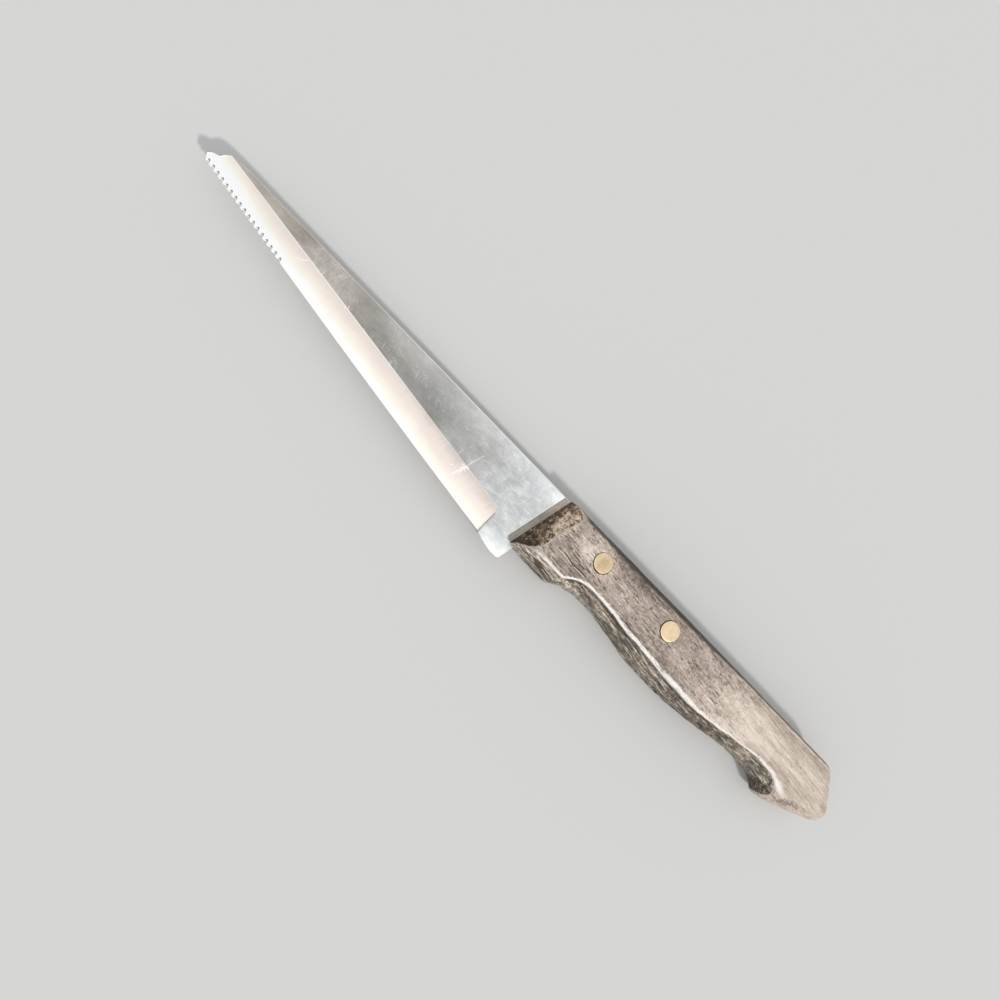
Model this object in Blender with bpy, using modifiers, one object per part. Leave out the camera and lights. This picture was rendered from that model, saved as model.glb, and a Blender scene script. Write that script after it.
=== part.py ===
"""Steak knife: a ground steel blade whose half tang sits in a slot sawn in a one-piece wooden handle.

The knife lies on its side. X runs from the tip to the butt, Y from the cutting edge to the spine
and Z up through the thickness. Two brass compression rivets, each a tube half and a pin half,
hold the tang in the slot. All sizes are in metres.
"""
import bpy
import bmesh
from math import cos, pi, radians, sin, sqrt, tan
from mathutils import Matrix, Vector
from mathutils.geometry import interpolate_bezier

for old in list(bpy.data.objects):
    bpy.data.objects.remove(old, do_unlink=True)

# Blade: depths are measured down from the straight spine, reaches forward from the handle's front
BLADE_THICKNESS = 0.0015
BLADE_LENGTH = 0.1172
TIP_POINT_DEPTH = 0.0043
EDGE_START_RUN = 0.0009
EDGE_START_DEPTH = 0.0055
EDGE_END_DEPTH = 0.0214
EDGE_BOW = 0.0004
EDGE_LAND = 0.0002
PLUNGE_REACH = 0.0121
GRIND_START_RUN = 0.0048
GRIND_START_DEPTH = 0.0008
GRIND_END_DEPTH = 0.0141
GRIND_CORNER_RADIUS = 0.0008
RICASSO_STEP = 0.0004
HEEL_DEPTH = 0.0230
HEEL_BASE_RUN = 0.0030
HEEL_SETBACK = 0.0017
HEEL_CORNER_RADIUS = 0.0006
SERRATION_COUNT = 17
SERRATION_PITCH = 0.00164
SERRATION_RADIUS = 0.00060
SERRATION_DEPTH = 0.00064
SERRATION_TILT = radians(50.0)

# Worn tip: two lobes with a notch between them, each a run back from the point and a depth
TIP_LOBE_RUN = 0.0011
TIP_LOBE_DEPTH = 0.0030
TIP_NOTCH_RUN = 0.0026
TIP_NOTCH_DEPTH = 0.0025
TIP_SHOULDER_RUN = 0.0036
TIP_SHOULDER_DEPTH = 0.0009
SPINE_FALL_RUN = 0.0104

# Handle outline at mid thickness: each run goes back from the feature before, and each depth
# goes down from the blade's spine
HANDLE_THICKNESS = 0.0120
FRONT_LEAN = radians(13.8)
FRONT_DEPTH = 0.0183
SPINE_RISE = 0.0003
SPINE_BOW = 0.0001
GUARD_RUN = 0.0094
GUARD_DEPTH = 0.0192
GUARD_CORNER_RADIUS = 0.0006
GROOVE_MOUTH_RUN = 0.0044
GROOVE_MOUTH_DEPTH = 0.0166
FINGER_GROOVE_RUN = 0.0067
FINGER_GROOVE_DEPTH = 0.0155
PALM_SWELL_RUN = 0.0290
PALM_SWELL_DEPTH = 0.0188
REAR_GROOVE_RUN = 0.0295
REAR_GROOVE_DEPTH = 0.0163
THROAT_RUN = 0.0079
THROAT_DEPTH = 0.0169
BEAK_RUN = 0.0038
BEAK_DEPTH = 0.0194
BEAK_CORNER_RADIUS = 0.0006
UNDERSIDE_RUN = 0.0078
UNDERSIDE_DEPTH = 0.01735
BUTT_CORNER_RUN = 0.0122
BUTT_CORNER_DEPTH = 0.0126
BUTT_CORNER_RADIUS = 0.0038
BUTT_SLOPE_RUN = 0.0092
BUTT_TOP_RADIUS = 0.0018

# How far the flat sides stand in from that outline, and how round the section is in between
FRONT_SLOPE_RUN = 0.0040
FRONT_SLOPE_POWER = 1.5
SPINE_ROUNDING = 0.0024
SPINE_ROUNDING_POWER = 2.6
BELLY_BEVEL = 0.0034
BELLY_BEVEL_POWER = 1.5
BUTT_ROUNDING = 0.0018
BUTT_ROUNDING_POWER = 2.0
SECTION_STEPS = 6
OUTLINE_STEPS = 6

# Slot and rivets
SLOT_CLEARANCE = 0.0003
SLOT_END_GAP = 0.0015
SLOT_SAW_RADIUS = 0.0450
RIVET_REACH = 0.0155
RIVET_SPACING = 0.0251
RIVET_DEPTH = 0.0060
RIVET_RECESS = 0.0001
RIVET_HEAD_DIAMETER = 0.0055
RIVET_HEAD_HEIGHT = 0.0013
RIVET_HEAD_EASE = 0.00015
RIVET_TUBE_DIAMETER = 0.0042
RIVET_PIN_DIAMETER = 0.0024
RIVET_PIN_END_GAP = 0.0010
RIVET_CLEARANCE = 0.0003
ROUND_STEPS = 32

# Tang: the part of the blade inside the handle, flush with the belly at its front
TANG_FLUSH_RUN = 0.0240
TANG_PAST_RIVETS = 0.0094
TANG_BELOW_RIVETS = 0.0050
TANG_END_CHAMFER = 0.0015
TANG_INSET = 0.0002

MID_Z = HANDLE_THICKNESS / 2
CUTTER_MARGIN = 0.0100


def new_collection(name):
    group = bpy.data.collections.new(name)
    bpy.context.scene.collection.children.link(group)
    return group


parts = new_collection("steak_knife")
cutters = new_collection("cutters")
frame = bpy.data.objects.new("steak_knife_frame", None)
parts.objects.link(frame)


def new_material(name, colour, roughness, metallic):
    made = bpy.data.materials.new(name)
    made.use_nodes = True
    shader = made.node_tree.nodes["Principled BSDF"]
    shader.inputs["Base Color"].default_value = (*colour, 1.0)
    shader.inputs["Roughness"].default_value = roughness
    shader.inputs["Metallic"].default_value = metallic
    return made


steel = new_material("blade_steel", (0.62, 0.62, 0.60), 0.28, 1.0)
wood = new_material("handle_wood", (0.36, 0.28, 0.22), 0.72, 0.0)
tube_brass = new_material("rivet_tube_brass", (0.78, 0.62, 0.34), 0.34, 1.0)
pin_brass = new_material("rivet_pin_brass", (0.74, 0.58, 0.31), 0.36, 1.0)


def add_object(name, mesh, group, surface=None):
    made = bpy.data.objects.new(name, mesh)
    group.objects.link(made)
    made.parent = frame
    if surface:
        mesh.materials.append(surface)
    if group is cutters:
        made.hide_render = True
        made.display_type = "WIRE"
    return made


def mesh_from(name, shape):
    bmesh.ops.recalc_face_normals(shape, faces=shape.faces)
    mesh = bpy.data.meshes.new(name)
    shape.to_mesh(mesh)
    shape.free()
    return mesh


def extruded_outline(name, points, thickness, centre_z, group, surface=None):
    """A flat outline as a filled 2D curve, extruded about centre_z and then made a closed mesh."""
    curve = bpy.data.curves.new(name, "CURVE")
    curve.dimensions = "2D"
    curve.fill_mode = "BOTH"
    curve.extrude = thickness / 2
    spline = curve.splines.new("POLY")
    spline.points.add(len(points) - 1)
    for knot, point in zip(spline.points, points):
        knot.co = (point[0], point[1], 0.0, 1.0)
    spline.use_cyclic_u = True
    guide = bpy.data.objects.new(name, curve)
    bpy.context.scene.collection.objects.link(guide)
    bpy.context.view_layer.update()
    solid = guide.evaluated_get(bpy.context.evaluated_depsgraph_get())
    flat = bpy.data.meshes.new_from_object(solid)
    bpy.data.objects.remove(guide, do_unlink=True)
    shape = bmesh.new()
    shape.from_mesh(flat)
    bpy.data.meshes.remove(flat)
    bmesh.ops.remove_doubles(shape, verts=shape.verts, dist=1e-6)
    bmesh.ops.translate(shape, verts=shape.verts, vec=(0.0, 0.0, centre_z))
    return add_object(name, mesh_from(name, shape), group, surface)


def cut(target, cutter):
    step = target.modifiers.new(cutter.name, "BOOLEAN")
    step.operation = "DIFFERENCE"
    step.solver = "EXACT"
    step.object = cutter


def turned(name, profile, place, group, surface=None):
    """A round piece: radii and heights down the outside, turned about an upright axis."""
    mesh = bpy.data.meshes.new(name)
    points = [(radius, 0.0, height) for radius, height in profile]
    mesh.from_pydata(points, [(i, i + 1) for i in range(len(points) - 1)], [])
    made = add_object(name, mesh, group, surface)
    made.location = place
    screw = made.modifiers.new("turn", "SCREW")
    screw.steps = ROUND_STEPS
    screw.render_steps = ROUND_STEPS
    screw.use_merge_vertices = True
    screw.merge_threshold = 1e-6
    screw.use_smooth_shade = True
    return made


def smooth_run(knots, steps):
    """Points along a smooth curve through the knots, without the last knot."""
    knots = [Vector(knot) for knot in knots]
    run = []
    for i in range(len(knots) - 1):
        here, there = knots[i], knots[i + 1]
        before = knots[i - 1] if i else here
        after = knots[i + 2] if i + 2 < len(knots) else there
        reach = (there - here).length / 3
        leaving = here + (there - before).normalized() * reach
        arriving = there - (after - here).normalized() * reach
        points = interpolate_bezier(here, leaving, arriving, there, steps + 1)
        run += [Vector(point[:2]) for point in points[:-1]]
    return run


def rounded(before, corner, after, radius, steps):
    """Points of the arc that rounds a corner of an outline, kept short of the corners beside it."""
    to_before = before - corner
    to_after = after - corner
    half_angle = to_before.angle(to_after) / 2
    reach = min(radius / tan(half_angle), 0.45 * to_before.length, 0.45 * to_after.length)
    radius = reach * tan(half_angle)
    middle = (to_before.normalized() + to_after.normalized()).normalized()
    centre = corner + middle * (radius / sin(half_angle))
    start = corner + to_before.normalized() * reach - centre
    turn = pi - 2 * half_angle
    if start.cross(corner - centre) < 0:
        turn = -turn
    return [centre + Matrix.Rotation(turn * i / steps, 2) @ start for i in range(steps + 1)]


def front_x(depth):
    """How far the leaning front of the handle stands forward at a depth below the spine."""
    return -depth * tan(FRONT_LEAN)


# Handle: the outline at mid thickness runs back along the spine, round the butt and forward below
front_bottom = Vector((front_x(FRONT_DEPTH), -FRONT_DEPTH))
guard = Vector((GUARD_RUN, -GUARD_DEPTH))
groove_mouth = Vector((guard.x + GROOVE_MOUTH_RUN, -GROOVE_MOUTH_DEPTH))
finger_groove = Vector((groove_mouth.x + FINGER_GROOVE_RUN, -FINGER_GROOVE_DEPTH))
palm_swell = Vector((finger_groove.x + PALM_SWELL_RUN, -PALM_SWELL_DEPTH))
rear_groove = Vector((palm_swell.x + REAR_GROOVE_RUN, -REAR_GROOVE_DEPTH))
throat = Vector((rear_groove.x + THROAT_RUN, -THROAT_DEPTH))
beak = Vector((throat.x + BEAK_RUN, -BEAK_DEPTH))
underside = Vector((beak.x + UNDERSIDE_RUN, -UNDERSIDE_DEPTH))
butt_corner = Vector((underside.x + BUTT_CORNER_RUN, -BUTT_CORNER_DEPTH))
butt_top = Vector((butt_corner.x - BUTT_SLOPE_RUN, SPINE_RISE))
front_top = Vector((front_x(-SPINE_RISE), SPINE_RISE))
spine_bow = (front_top + butt_top) / 2 + Vector((0.0, SPINE_BOW))

spine_side = (SPINE_ROUNDING, SPINE_ROUNDING_POWER)
butt_side = (BUTT_ROUNDING, BUTT_ROUNDING_POWER)
belly_side = (BELLY_BEVEL, BELLY_BEVEL_POWER)
front_side = (FRONT_SLOPE_RUN, FRONT_SLOPE_POWER)

spine_run = smooth_run([front_top, spine_bow, butt_top], OUTLINE_STEPS)
belly_run = smooth_run([throat, rear_groove, palm_swell, finger_groove, groove_mouth], OUTLINE_STEPS)

# Each corner of the outline has its place, its rounding and the section of the side after it
corners = [(point, 0.0, spine_side) for point in spine_run]
corners += [(butt_top, BUTT_TOP_RADIUS, butt_side)]
corners += [(butt_corner, BUTT_CORNER_RADIUS, butt_side)]
corners += [(underside, 0.0, belly_side)]
corners += [(beak, BEAK_CORNER_RADIUS, belly_side)]
corners += [(point, 0.0, belly_side) for point in belly_run + [groove_mouth]]
corners += [(guard, GUARD_CORNER_RADIUS, belly_side)]
corners += [(front_bottom, 0.0, front_side)]


def flat_side_corner(i):
    """Where a corner of the outline lies on the flat side, with both its edges moved in."""
    here = corners[i][0]
    back = (here - corners[i - 1][0]).normalized()
    ahead = (corners[(i + 1) % len(corners)][0] - here).normalized()
    in_back = Vector((back.y, -back.x))
    in_ahead = Vector((ahead.y, -ahead.x))
    move_back = corners[i - 1][2][0]
    move_ahead = corners[i][2][0]
    turn = in_back.cross(in_ahead)
    if abs(turn) < 0.3:
        return here + (in_back + in_ahead).normalized() * (move_back + move_ahead) / 2
    return here + Vector((move_back * in_ahead.y - move_ahead * in_back.y,
                          move_ahead * in_back.x - move_back * in_ahead.x)) / turn


def with_rounded_corners(places, moved_in):
    points = []
    for i, (corner, (_, radius, section)) in enumerate(zip(places, corners)):
        if radius:
            arc_radius = max(radius - moved_in * section[0], 0.3 * radius)
            before = places[i - 1]
            after = places[(i + 1) % len(places)]
            points += rounded(before, corner, after, arc_radius, OUTLINE_STEPS)
        else:
            points.append(corner)
    return points


mid_outline = with_rounded_corners([corner[0] for corner in corners], 0)
flat_outline = with_rounded_corners([flat_side_corner(i) for i in range(len(corners))], 1)
powers = []
for i, (_, radius, section) in enumerate(corners):
    power = (corners[i - 1][2][1] + section[1]) / 2
    powers += [power] * (OUTLINE_STEPS + 1 if radius else 1)


def handle_layer(shape, side, share):
    """One closed ring of the handle, at a share of the way from mid thickness to a flat side."""
    ring = []
    for outer, inner, power in zip(mid_outline, flat_outline, powers):
        out = (1.0 - share ** power) ** (1.0 / power)
        point = inner.lerp(outer, out)
        ring.append(shape.verts.new((point.x, point.y, MID_Z * (1.0 + side * share))))
    return [shape.edges.new((ring[i - 1], ring[i])) for i in range(len(ring))]


# The handle is a loft: it swells from one flat side to the outline and back to the other side
shares = [sin(pi / 2 * i / SECTION_STEPS) for i in range(SECTION_STEPS, -1, -1)]
body = bmesh.new()
layers = [handle_layer(body, -1, share) for share in shares]
layers += [handle_layer(body, 1, share) for share in reversed(shares[:-1])]
for lower, upper in zip(layers, layers[1:]):
    bmesh.ops.bridge_loops(body, edges=lower + upper)
bmesh.ops.triangle_fill(body, edges=layers[0], use_beauty=True)
bmesh.ops.triangle_fill(body, edges=layers[-1], use_beauty=True)
handle = add_object("handle", mesh_from("handle", body), parts, wood)
handle.data.shade_smooth()
handle.data.set_sharp_from_angle(angle=radians(35.0))

# The slot is open at the front, the spine and the belly, and ends in the saw's arc
slot_middle = -FRONT_DEPTH / 2
tang_length = RIVET_REACH + RIVET_SPACING + TANG_PAST_RIVETS
slot_end = tang_length + SLOT_END_GAP
slot_reach = CUTTER_MARGIN + FRONT_DEPTH / 2
slot_sag = SLOT_SAW_RADIUS - sqrt(SLOT_SAW_RADIUS ** 2 - slot_reach ** 2)
slot_front = front_x(FRONT_DEPTH) - CUTTER_MARGIN
slot_outline = [(slot_front, slot_middle - slot_reach), (slot_front, slot_middle + slot_reach)]
for i in range(2 * OUTLINE_STEPS + 1):
    y = slot_reach * (1.0 - i / OUTLINE_STEPS)
    x = slot_end + slot_sag - SLOT_SAW_RADIUS + sqrt(SLOT_SAW_RADIUS ** 2 - y ** 2)
    slot_outline.append((x, slot_middle + y))
slot_width = BLADE_THICKNESS + 2 * SLOT_CLEARANCE
cut(handle, extruded_outline("slot_cutter", slot_outline, slot_width, MID_Z, cutters))

# Blade outline: the spine and tang, then the heel, the edge and the worn tip
tip_x = -BLADE_LENGTH
edge_start = Vector((tip_x + EDGE_START_RUN, -EDGE_START_DEPTH))
edge_end = Vector((-PLUNGE_REACH - RICASSO_STEP, -EDGE_END_DEPTH))


def edge_point(share):
    """A point of the slightly bowed edge, at a share of the way from the tip to the ricasso."""
    return edge_start.lerp(edge_end, share) - Vector((0.0, 4 * EDGE_BOW * share * (1 - share)))


heel_foot = Vector((front_x(HEEL_DEPTH) + HEEL_SETBACK, -HEEL_DEPTH))
heel_top = Vector((front_x(FRONT_DEPTH) + HEEL_SETBACK, -FRONT_DEPTH))
tang_flush = [point + Vector((0.0, TANG_INSET)) for point in mid_outline
              if heel_top.x < point.x < TANG_FLUSH_RUN and point.y < -FRONT_DEPTH / 2]
heel_corner = rounded(heel_top, heel_foot, heel_foot - Vector((HEEL_BASE_RUN, 0.0)),
                      HEEL_CORNER_RADIUS, OUTLINE_STEPS)

blade_outline = [Vector((tip_x + SPINE_FALL_RUN, 0.0))]
blade_outline += [Vector((tang_length - TANG_END_CHAMFER, 0.0))]
blade_outline += [Vector((tang_length, -TANG_END_CHAMFER))]
blade_outline += [Vector((tang_length, -RIVET_DEPTH - TANG_BELOW_RIVETS))]
blade_outline += tang_flush
blade_outline += [heel_top + Vector((0.0, TANG_INSET))]
blade_outline += heel_corner
blade_outline += [heel_foot - Vector((HEEL_BASE_RUN, 0.0))]
blade_outline += [Vector((-PLUNGE_REACH, -EDGE_END_DEPTH - RICASSO_STEP))]
blade_outline += [edge_point(i / OUTLINE_STEPS) for i in range(OUTLINE_STEPS, -1, -1)]
blade_outline += [Vector((tip_x, -TIP_POINT_DEPTH))]
blade_outline += [Vector((tip_x + TIP_LOBE_RUN, -TIP_LOBE_DEPTH))]
blade_outline += [Vector((tip_x + TIP_NOTCH_RUN, -TIP_NOTCH_DEPTH))]
blade_outline += [Vector((tip_x + TIP_SHOULDER_RUN, -TIP_SHOULDER_DEPTH))]
blade = extruded_outline("blade_with_tang", blade_outline, BLADE_THICKNESS, MID_Z, parts, steel)

# The grind on each side is a ruled face from the grind line to the edge, with a square plunge
grind_start = Vector((tip_x + GRIND_START_RUN, -GRIND_START_DEPTH))
grind_end = Vector((-PLUNGE_REACH, -GRIND_END_DEPTH))
grind_slope = (grind_end - grind_start) / (grind_end.x - grind_start.x)


def grind_cutter(side):
    """Everything outside one ground face, from beyond the tip to the plunge."""
    shape = bmesh.new()
    columns = 2 * OUTLINE_STEPS
    bmesh.ops.create_grid(shape, x_segments=columns, y_segments=2, size=0.5)
    first_x = tip_x - CUTTER_MARGIN
    half = BLADE_THICKNESS / 2
    fall = half - EDGE_LAND / 2
    for vert in shape.verts:
        x = first_x + (vert.co.x + 0.5) * (-PLUNGE_REACH - first_x)
        line_y = grind_start.y + grind_slope.y * (x - grind_start.x)
        share = (x - edge_start.x) / (edge_end.x - edge_start.x)
        edge_y = edge_point(share).y
        down = (0.5 - vert.co.y) * 2.0
        vert.co = (x, line_y + (edge_y - line_y) * down, MID_Z + side * (half - fall * down))
    bmesh.ops.recalc_face_normals(shape, faces=shape.faces)
    grown = bmesh.ops.extrude_face_region(shape, geom=list(shape.faces))["geom"]
    far = [item for item in grown if isinstance(item, bmesh.types.BMVert)]
    for vert in far:
        vert.co.z = MID_Z + side * (half + CUTTER_MARGIN)
    corner = [edge for edge in shape.edges
              if all(abs(vert.co.x + PLUNGE_REACH) < 1e-7 for vert in edge.verts)
              and all(abs(vert.co.y - grind_end.y) < 1e-7 for vert in edge.verts)]
    bmesh.ops.bevel(shape, geom=corner, offset=GRIND_CORNER_RADIUS, segments=OUTLINE_STEPS,
                    profile=0.5, affect="EDGES")
    name = "grind_cutter_upper" if side > 0 else "grind_cutter_lower"
    return add_object(name, mesh_from(name, shape), cutters)


cut(blade, grind_cutter(1))
cut(blade, grind_cutter(-1))

# Serrations: a row of small scallops in the front of the edge, tilted to flute the upper side
along = (edge_end - edge_start).normalized()
outward = Vector((along.y, -along.x))
tilt = Matrix.Rotation(-SERRATION_TILT, 4, Vector((along.x, along.y, 0.0)))
scallops = bmesh.new()
edge_length = (edge_end - edge_start).length
for i in range(SERRATION_COUNT):
    place = edge_point(SERRATION_PITCH * (i + 0.5) / edge_length)
    place += outward * (SERRATION_RADIUS / cos(SERRATION_TILT) - SERRATION_DEPTH)
    stand = Matrix.Translation((place.x, place.y, MID_Z)) @ tilt
    bmesh.ops.create_cone(scallops, cap_ends=True, segments=ROUND_STEPS // 2, radius1=SERRATION_RADIUS,
                          radius2=SERRATION_RADIUS, depth=4 * BLADE_THICKNESS, matrix=stand)
cut(blade, add_object("serration_cutters", mesh_from("serration_cutters", scallops), cutters))

# Rivets: stepped holes through the handle and the tang, then a tube half and a pin half in each
top = HANDLE_THICKNESS - RIVET_RECESS
bottom = RIVET_RECESS
head_radius = RIVET_HEAD_DIAMETER / 2
tube_radius = RIVET_TUBE_DIAMETER / 2
pin_radius = RIVET_PIN_DIAMETER / 2
bore_radius = pin_radius + RIVET_CLEARANCE
seat_top = top - RIVET_HEAD_HEIGHT - RIVET_CLEARANCE
seat_bottom = bottom + RIVET_HEAD_HEIGHT + RIVET_CLEARANCE
tube_foot = bottom + RIVET_HEAD_HEIGHT + RIVET_CLEARANCE
bore_roof = top - RIVET_HEAD_HEIGHT

hole_profile = [(0.0, HANDLE_THICKNESS + CUTTER_MARGIN)]
hole_profile += [(head_radius + RIVET_CLEARANCE, HANDLE_THICKNESS + CUTTER_MARGIN)]
hole_profile += [(head_radius + RIVET_CLEARANCE, seat_top), (tube_radius + RIVET_CLEARANCE, seat_top)]
hole_profile += [(tube_radius + RIVET_CLEARANCE, seat_bottom)]
hole_profile += [(head_radius + RIVET_CLEARANCE, seat_bottom)]
hole_profile += [(head_radius + RIVET_CLEARANCE, -CUTTER_MARGIN), (0.0, -CUTTER_MARGIN)]

tube_profile = [(0.0, top), (head_radius - RIVET_HEAD_EASE, top), (head_radius, top - RIVET_HEAD_EASE)]
tube_profile += [(head_radius, top - RIVET_HEAD_HEIGHT), (tube_radius, top - RIVET_HEAD_HEIGHT)]
tube_profile += [(tube_radius, tube_foot), (bore_radius, tube_foot)]
tube_profile += [(bore_radius, bore_roof), (0.0, bore_roof)]

pin_profile = [(0.0, bore_roof - RIVET_PIN_END_GAP), (pin_radius, bore_roof - RIVET_PIN_END_GAP)]
pin_profile += [(pin_radius, bottom + RIVET_HEAD_HEIGHT), (head_radius, bottom + RIVET_HEAD_HEIGHT)]
pin_profile += [(head_radius, bottom + RIVET_HEAD_EASE), (head_radius - RIVET_HEAD_EASE, bottom)]
pin_profile += [(0.0, bottom)]

for number in (1, 2):
    place = (RIVET_REACH + (number - 1) * RIVET_SPACING, -RIVET_DEPTH, 0.0)
    hole = turned("rivet_hole_cutter_%d" % number, hole_profile, place, cutters)
    cut(handle, hole)
    cut(blade, hole)
    turned("rivet_%d_tube" % number, tube_profile, place, parts, tube_brass)
    turned("rivet_%d_pin" % number, pin_profile, place, parts, pin_brass)

# The frame stands at the middle of the knife's box, on the plane that the flat side lies on
frame.location = (-(max(point.x for point in mid_outline) - BLADE_LENGTH) / 2,
                  -(max(point.y for point in mid_outline) - HEEL_DEPTH) / 2, 0.0)
bpy.context.view_layer.update()
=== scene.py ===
"""The looks of a worn steak knife that lies on its side on a pale table.

The knife's own axes are used throughout: x runs from the tip to the butt, y from the edge to the
spine and z through the thickness. They start where the handle's front meets the blade's spine, at
mid thickness. A length with mm beside it is in metres, and a bare one is in millimetres.
"""
from math import cos, pi, radians, sin, sqrt, tan

import bmesh
import bpy
import numpy as np
from mathutils import Matrix, Vector, noise


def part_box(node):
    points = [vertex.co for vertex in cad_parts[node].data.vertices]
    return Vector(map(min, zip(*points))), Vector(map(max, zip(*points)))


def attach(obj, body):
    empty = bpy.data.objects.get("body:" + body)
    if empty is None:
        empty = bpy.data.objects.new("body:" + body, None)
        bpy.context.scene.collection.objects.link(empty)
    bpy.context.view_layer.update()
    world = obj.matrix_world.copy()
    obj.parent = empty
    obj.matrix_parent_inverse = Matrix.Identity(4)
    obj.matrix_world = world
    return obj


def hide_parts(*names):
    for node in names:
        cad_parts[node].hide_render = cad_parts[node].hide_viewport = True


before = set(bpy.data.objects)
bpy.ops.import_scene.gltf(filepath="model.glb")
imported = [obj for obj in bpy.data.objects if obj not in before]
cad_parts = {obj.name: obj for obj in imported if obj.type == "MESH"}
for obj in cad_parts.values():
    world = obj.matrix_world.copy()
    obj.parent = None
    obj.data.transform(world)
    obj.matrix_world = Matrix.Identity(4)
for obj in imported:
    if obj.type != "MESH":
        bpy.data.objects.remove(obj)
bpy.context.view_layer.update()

mm = 0.001

# Blade and tang: one stamped sheet of stainless steel, satin on its flats and ground on both sides
# to a thin edge, with small scalloped teeth behind a worn tip. The tang runs back through the slot
# in the handle, and its lower edge shows between the wood's two halves.
BLADE_LENGTH = 117.2 * mm
BLADE_HALF = 0.75 * mm
EDGE_HALF = 0.08 * mm
SPINE_EASE = 0.13 * mm
EASE_ROW = 0.035 * mm
LINE_HALF = 0.02 * mm
NOSE_START, NOSE_RUN = -117.35, 0.85
TOOTH_COUNT = 17
TOOTH_PITCH = 1.652 * mm
TOOTH_RADIUS = 0.60 * mm
TOOTH_DEPTH = 0.56 * mm
TOOTH_TILT = radians(58.0)
TEETH_START = -116.82 * mm
EDGE_SLANT = radians(8.7)
EDGE_START, EDGE_END = -116.3, -12.5
EDGE_TIP_Y, EDGE_DROP, EDGE_BOW = -5.5, 15.9, 1.6
GRIND_START, GRIND_END = -112.4, -12.1
GRIND_TIP_Y, GRIND_DROP = -0.8, 13.3
GRIND_BULGE = 0.30
PLUNGE_X = -12.1 * mm
PLUNGE_CORNER = 0.9 * mm
FRONT_LEAN = radians(13.8)
RIVET_PLACES = [(15.5 * mm, -6.0 * mm), (40.6 * mm, -6.0 * mm)]
SHANK_RADIUS = 2.1 * mm
SHANK_HOLE = SHANK_RADIUS + 0.2 * mm
HOLE_REACH = 5 * mm
# Points of x and y. The heel and the tang have the spine's x first, and then the lower edge's x and y.
TIP_PATH = [
    (-117.42, -4.25), (-117.20, -3.80), (-117.03, -3.60), (-116.52, -3.09), (-115.96, -2.85),
    (-115.42, -2.68), (-114.90, -2.44), (-114.60, -2.02), (-114.23, -1.37), (-114.00, -0.98),
    (-113.63, -0.73), (-113.12, -0.52), (-112.00, -0.28), (-109.50, -0.06), (-106.80, 0.0)]
NOSE_PATH = [(-117.42, -4.30), (-117.20, -4.65), (-116.79, -5.10), (-116.47, -5.42), (-116.30, -5.50)]
HEEL_PATH = [
    (-12, -12.0, -21.80), (-10, -10.0, -22.35), (-8, -8.0, -22.82), (-6.6, -6.9, -23.00),
    (-5.2, -5.2, -23.02), (-4.4, -4.5, -22.98), (-4, -4.15, -22.85), (-3.7, -3.88, -22.60),
    (-3.4, -3.74, -22.20), (-2.6, -3.40, -20.60), (-1.6, -3.02, -19.20), (-0.6, -2.75, -18.12)]
TANG_PATH = [
    (1.5, 0.0, -18.05), (4.5, 4.5, -18.18), (8.2, 8.2, -18.34), (9.3, 9.3, -18.40), (10.1, 10.1, -18.20),
    (10.9, 10.9, -17.80), (12, 12.0, -17.10), (13.4, 13.4, -16.45), (15, 15.0, -15.98),
    (17, 17.0, -15.58), (19, 19.0, -15.28), (22.8, 22.8, -15.26), (24, 24.0, -15.20),
    (30, 29.5, -14.20), (38, 37.0, -12.80), (47, 46.5, -11.20), (50, 50.0, -10.60)]

blade_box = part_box("blade_with_tang")
START = Vector((blade_box[0].x + BLADE_LENGTH, blade_box[1].y, (blade_box[0].z + blade_box[1].z) / 2))

# The kinds of row on a section: tooth gap, ground side, flat, plain sheet and eased spine
FLUTE, SIDE, FLAT, PLAIN, EASED = range(5)
SIDE_SHARES = (0.03, 0.1, 0.2, 0.32, 0.45, 0.6, 0.75, 0.9, 1.0)
FLAT_SHARES = (0.02, 0.25, 0.5, 0.75, 0.98)
PLAIN_SHARES = (0.01, 0.03, 0.06, 0.1, 0.16, 0.22, 0.29, 0.37, 0.46, 0.55, 0.64, 0.73, 0.82, 0.91, 0.98)


def along(path, x):
    """A value read from a path of millimetre points at x, which is in metres."""
    return float(np.interp(x / mm, *zip(*path))) * mm


def held(share):
    """A number kept between 0 and 1."""
    return min(max(share, 0.0), 1.0)


def round_off(radius, run):
    """How far a rounded corner has fallen back after this run along it."""
    return radius - sqrt(max(radius ** 2 - run ** 2, 0.0))


def edge_line(x):
    """Where the cutting edge would lie at x if it had no teeth."""
    share = (x / mm - EDGE_START) / (EDGE_END - EDGE_START)
    return (EDGE_TIP_Y - EDGE_DROP * share - EDGE_BOW * share * (1 - share)) * mm


def grind_line(x):
    """Where the ground side begins at x."""
    return (GRIND_TIP_Y - GRIND_DROP * (x / mm - GRIND_START) / (GRIND_END - GRIND_START)) * mm


def ground_half(x, y):
    """Half the blade's thickness on the ground side, which bulges a little like a wheel leaves it."""
    share = held((grind_line(x) - y) / (grind_line(x) - edge_line(x)))
    return BLADE_HALF - (BLADE_HALF - EDGE_HALF) * ((1 - GRIND_BULGE) * share + GRIND_BULGE * share ** 2)


def tooth_recess(x):
    """How far a tooth gap cuts in at mid thickness at x and how near x is to its middle, or None."""
    place = (x - TEETH_START) / (TOOTH_PITCH * cos(EDGE_SLANT))
    if not 0 <= place < TOOTH_COUNT:
        return None
    aside = (place % 1 - 0.5) * TOOTH_PITCH
    if abs(aside) >= TOOTH_RADIUS:
        return None
    across = sqrt(TOOTH_RADIUS ** 2 - aside ** 2)
    return TOOTH_DEPTH - (TOOTH_RADIUS - across) / cos(TOOTH_TILT), 1 - (aside / TOOTH_RADIUS) ** 2


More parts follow.
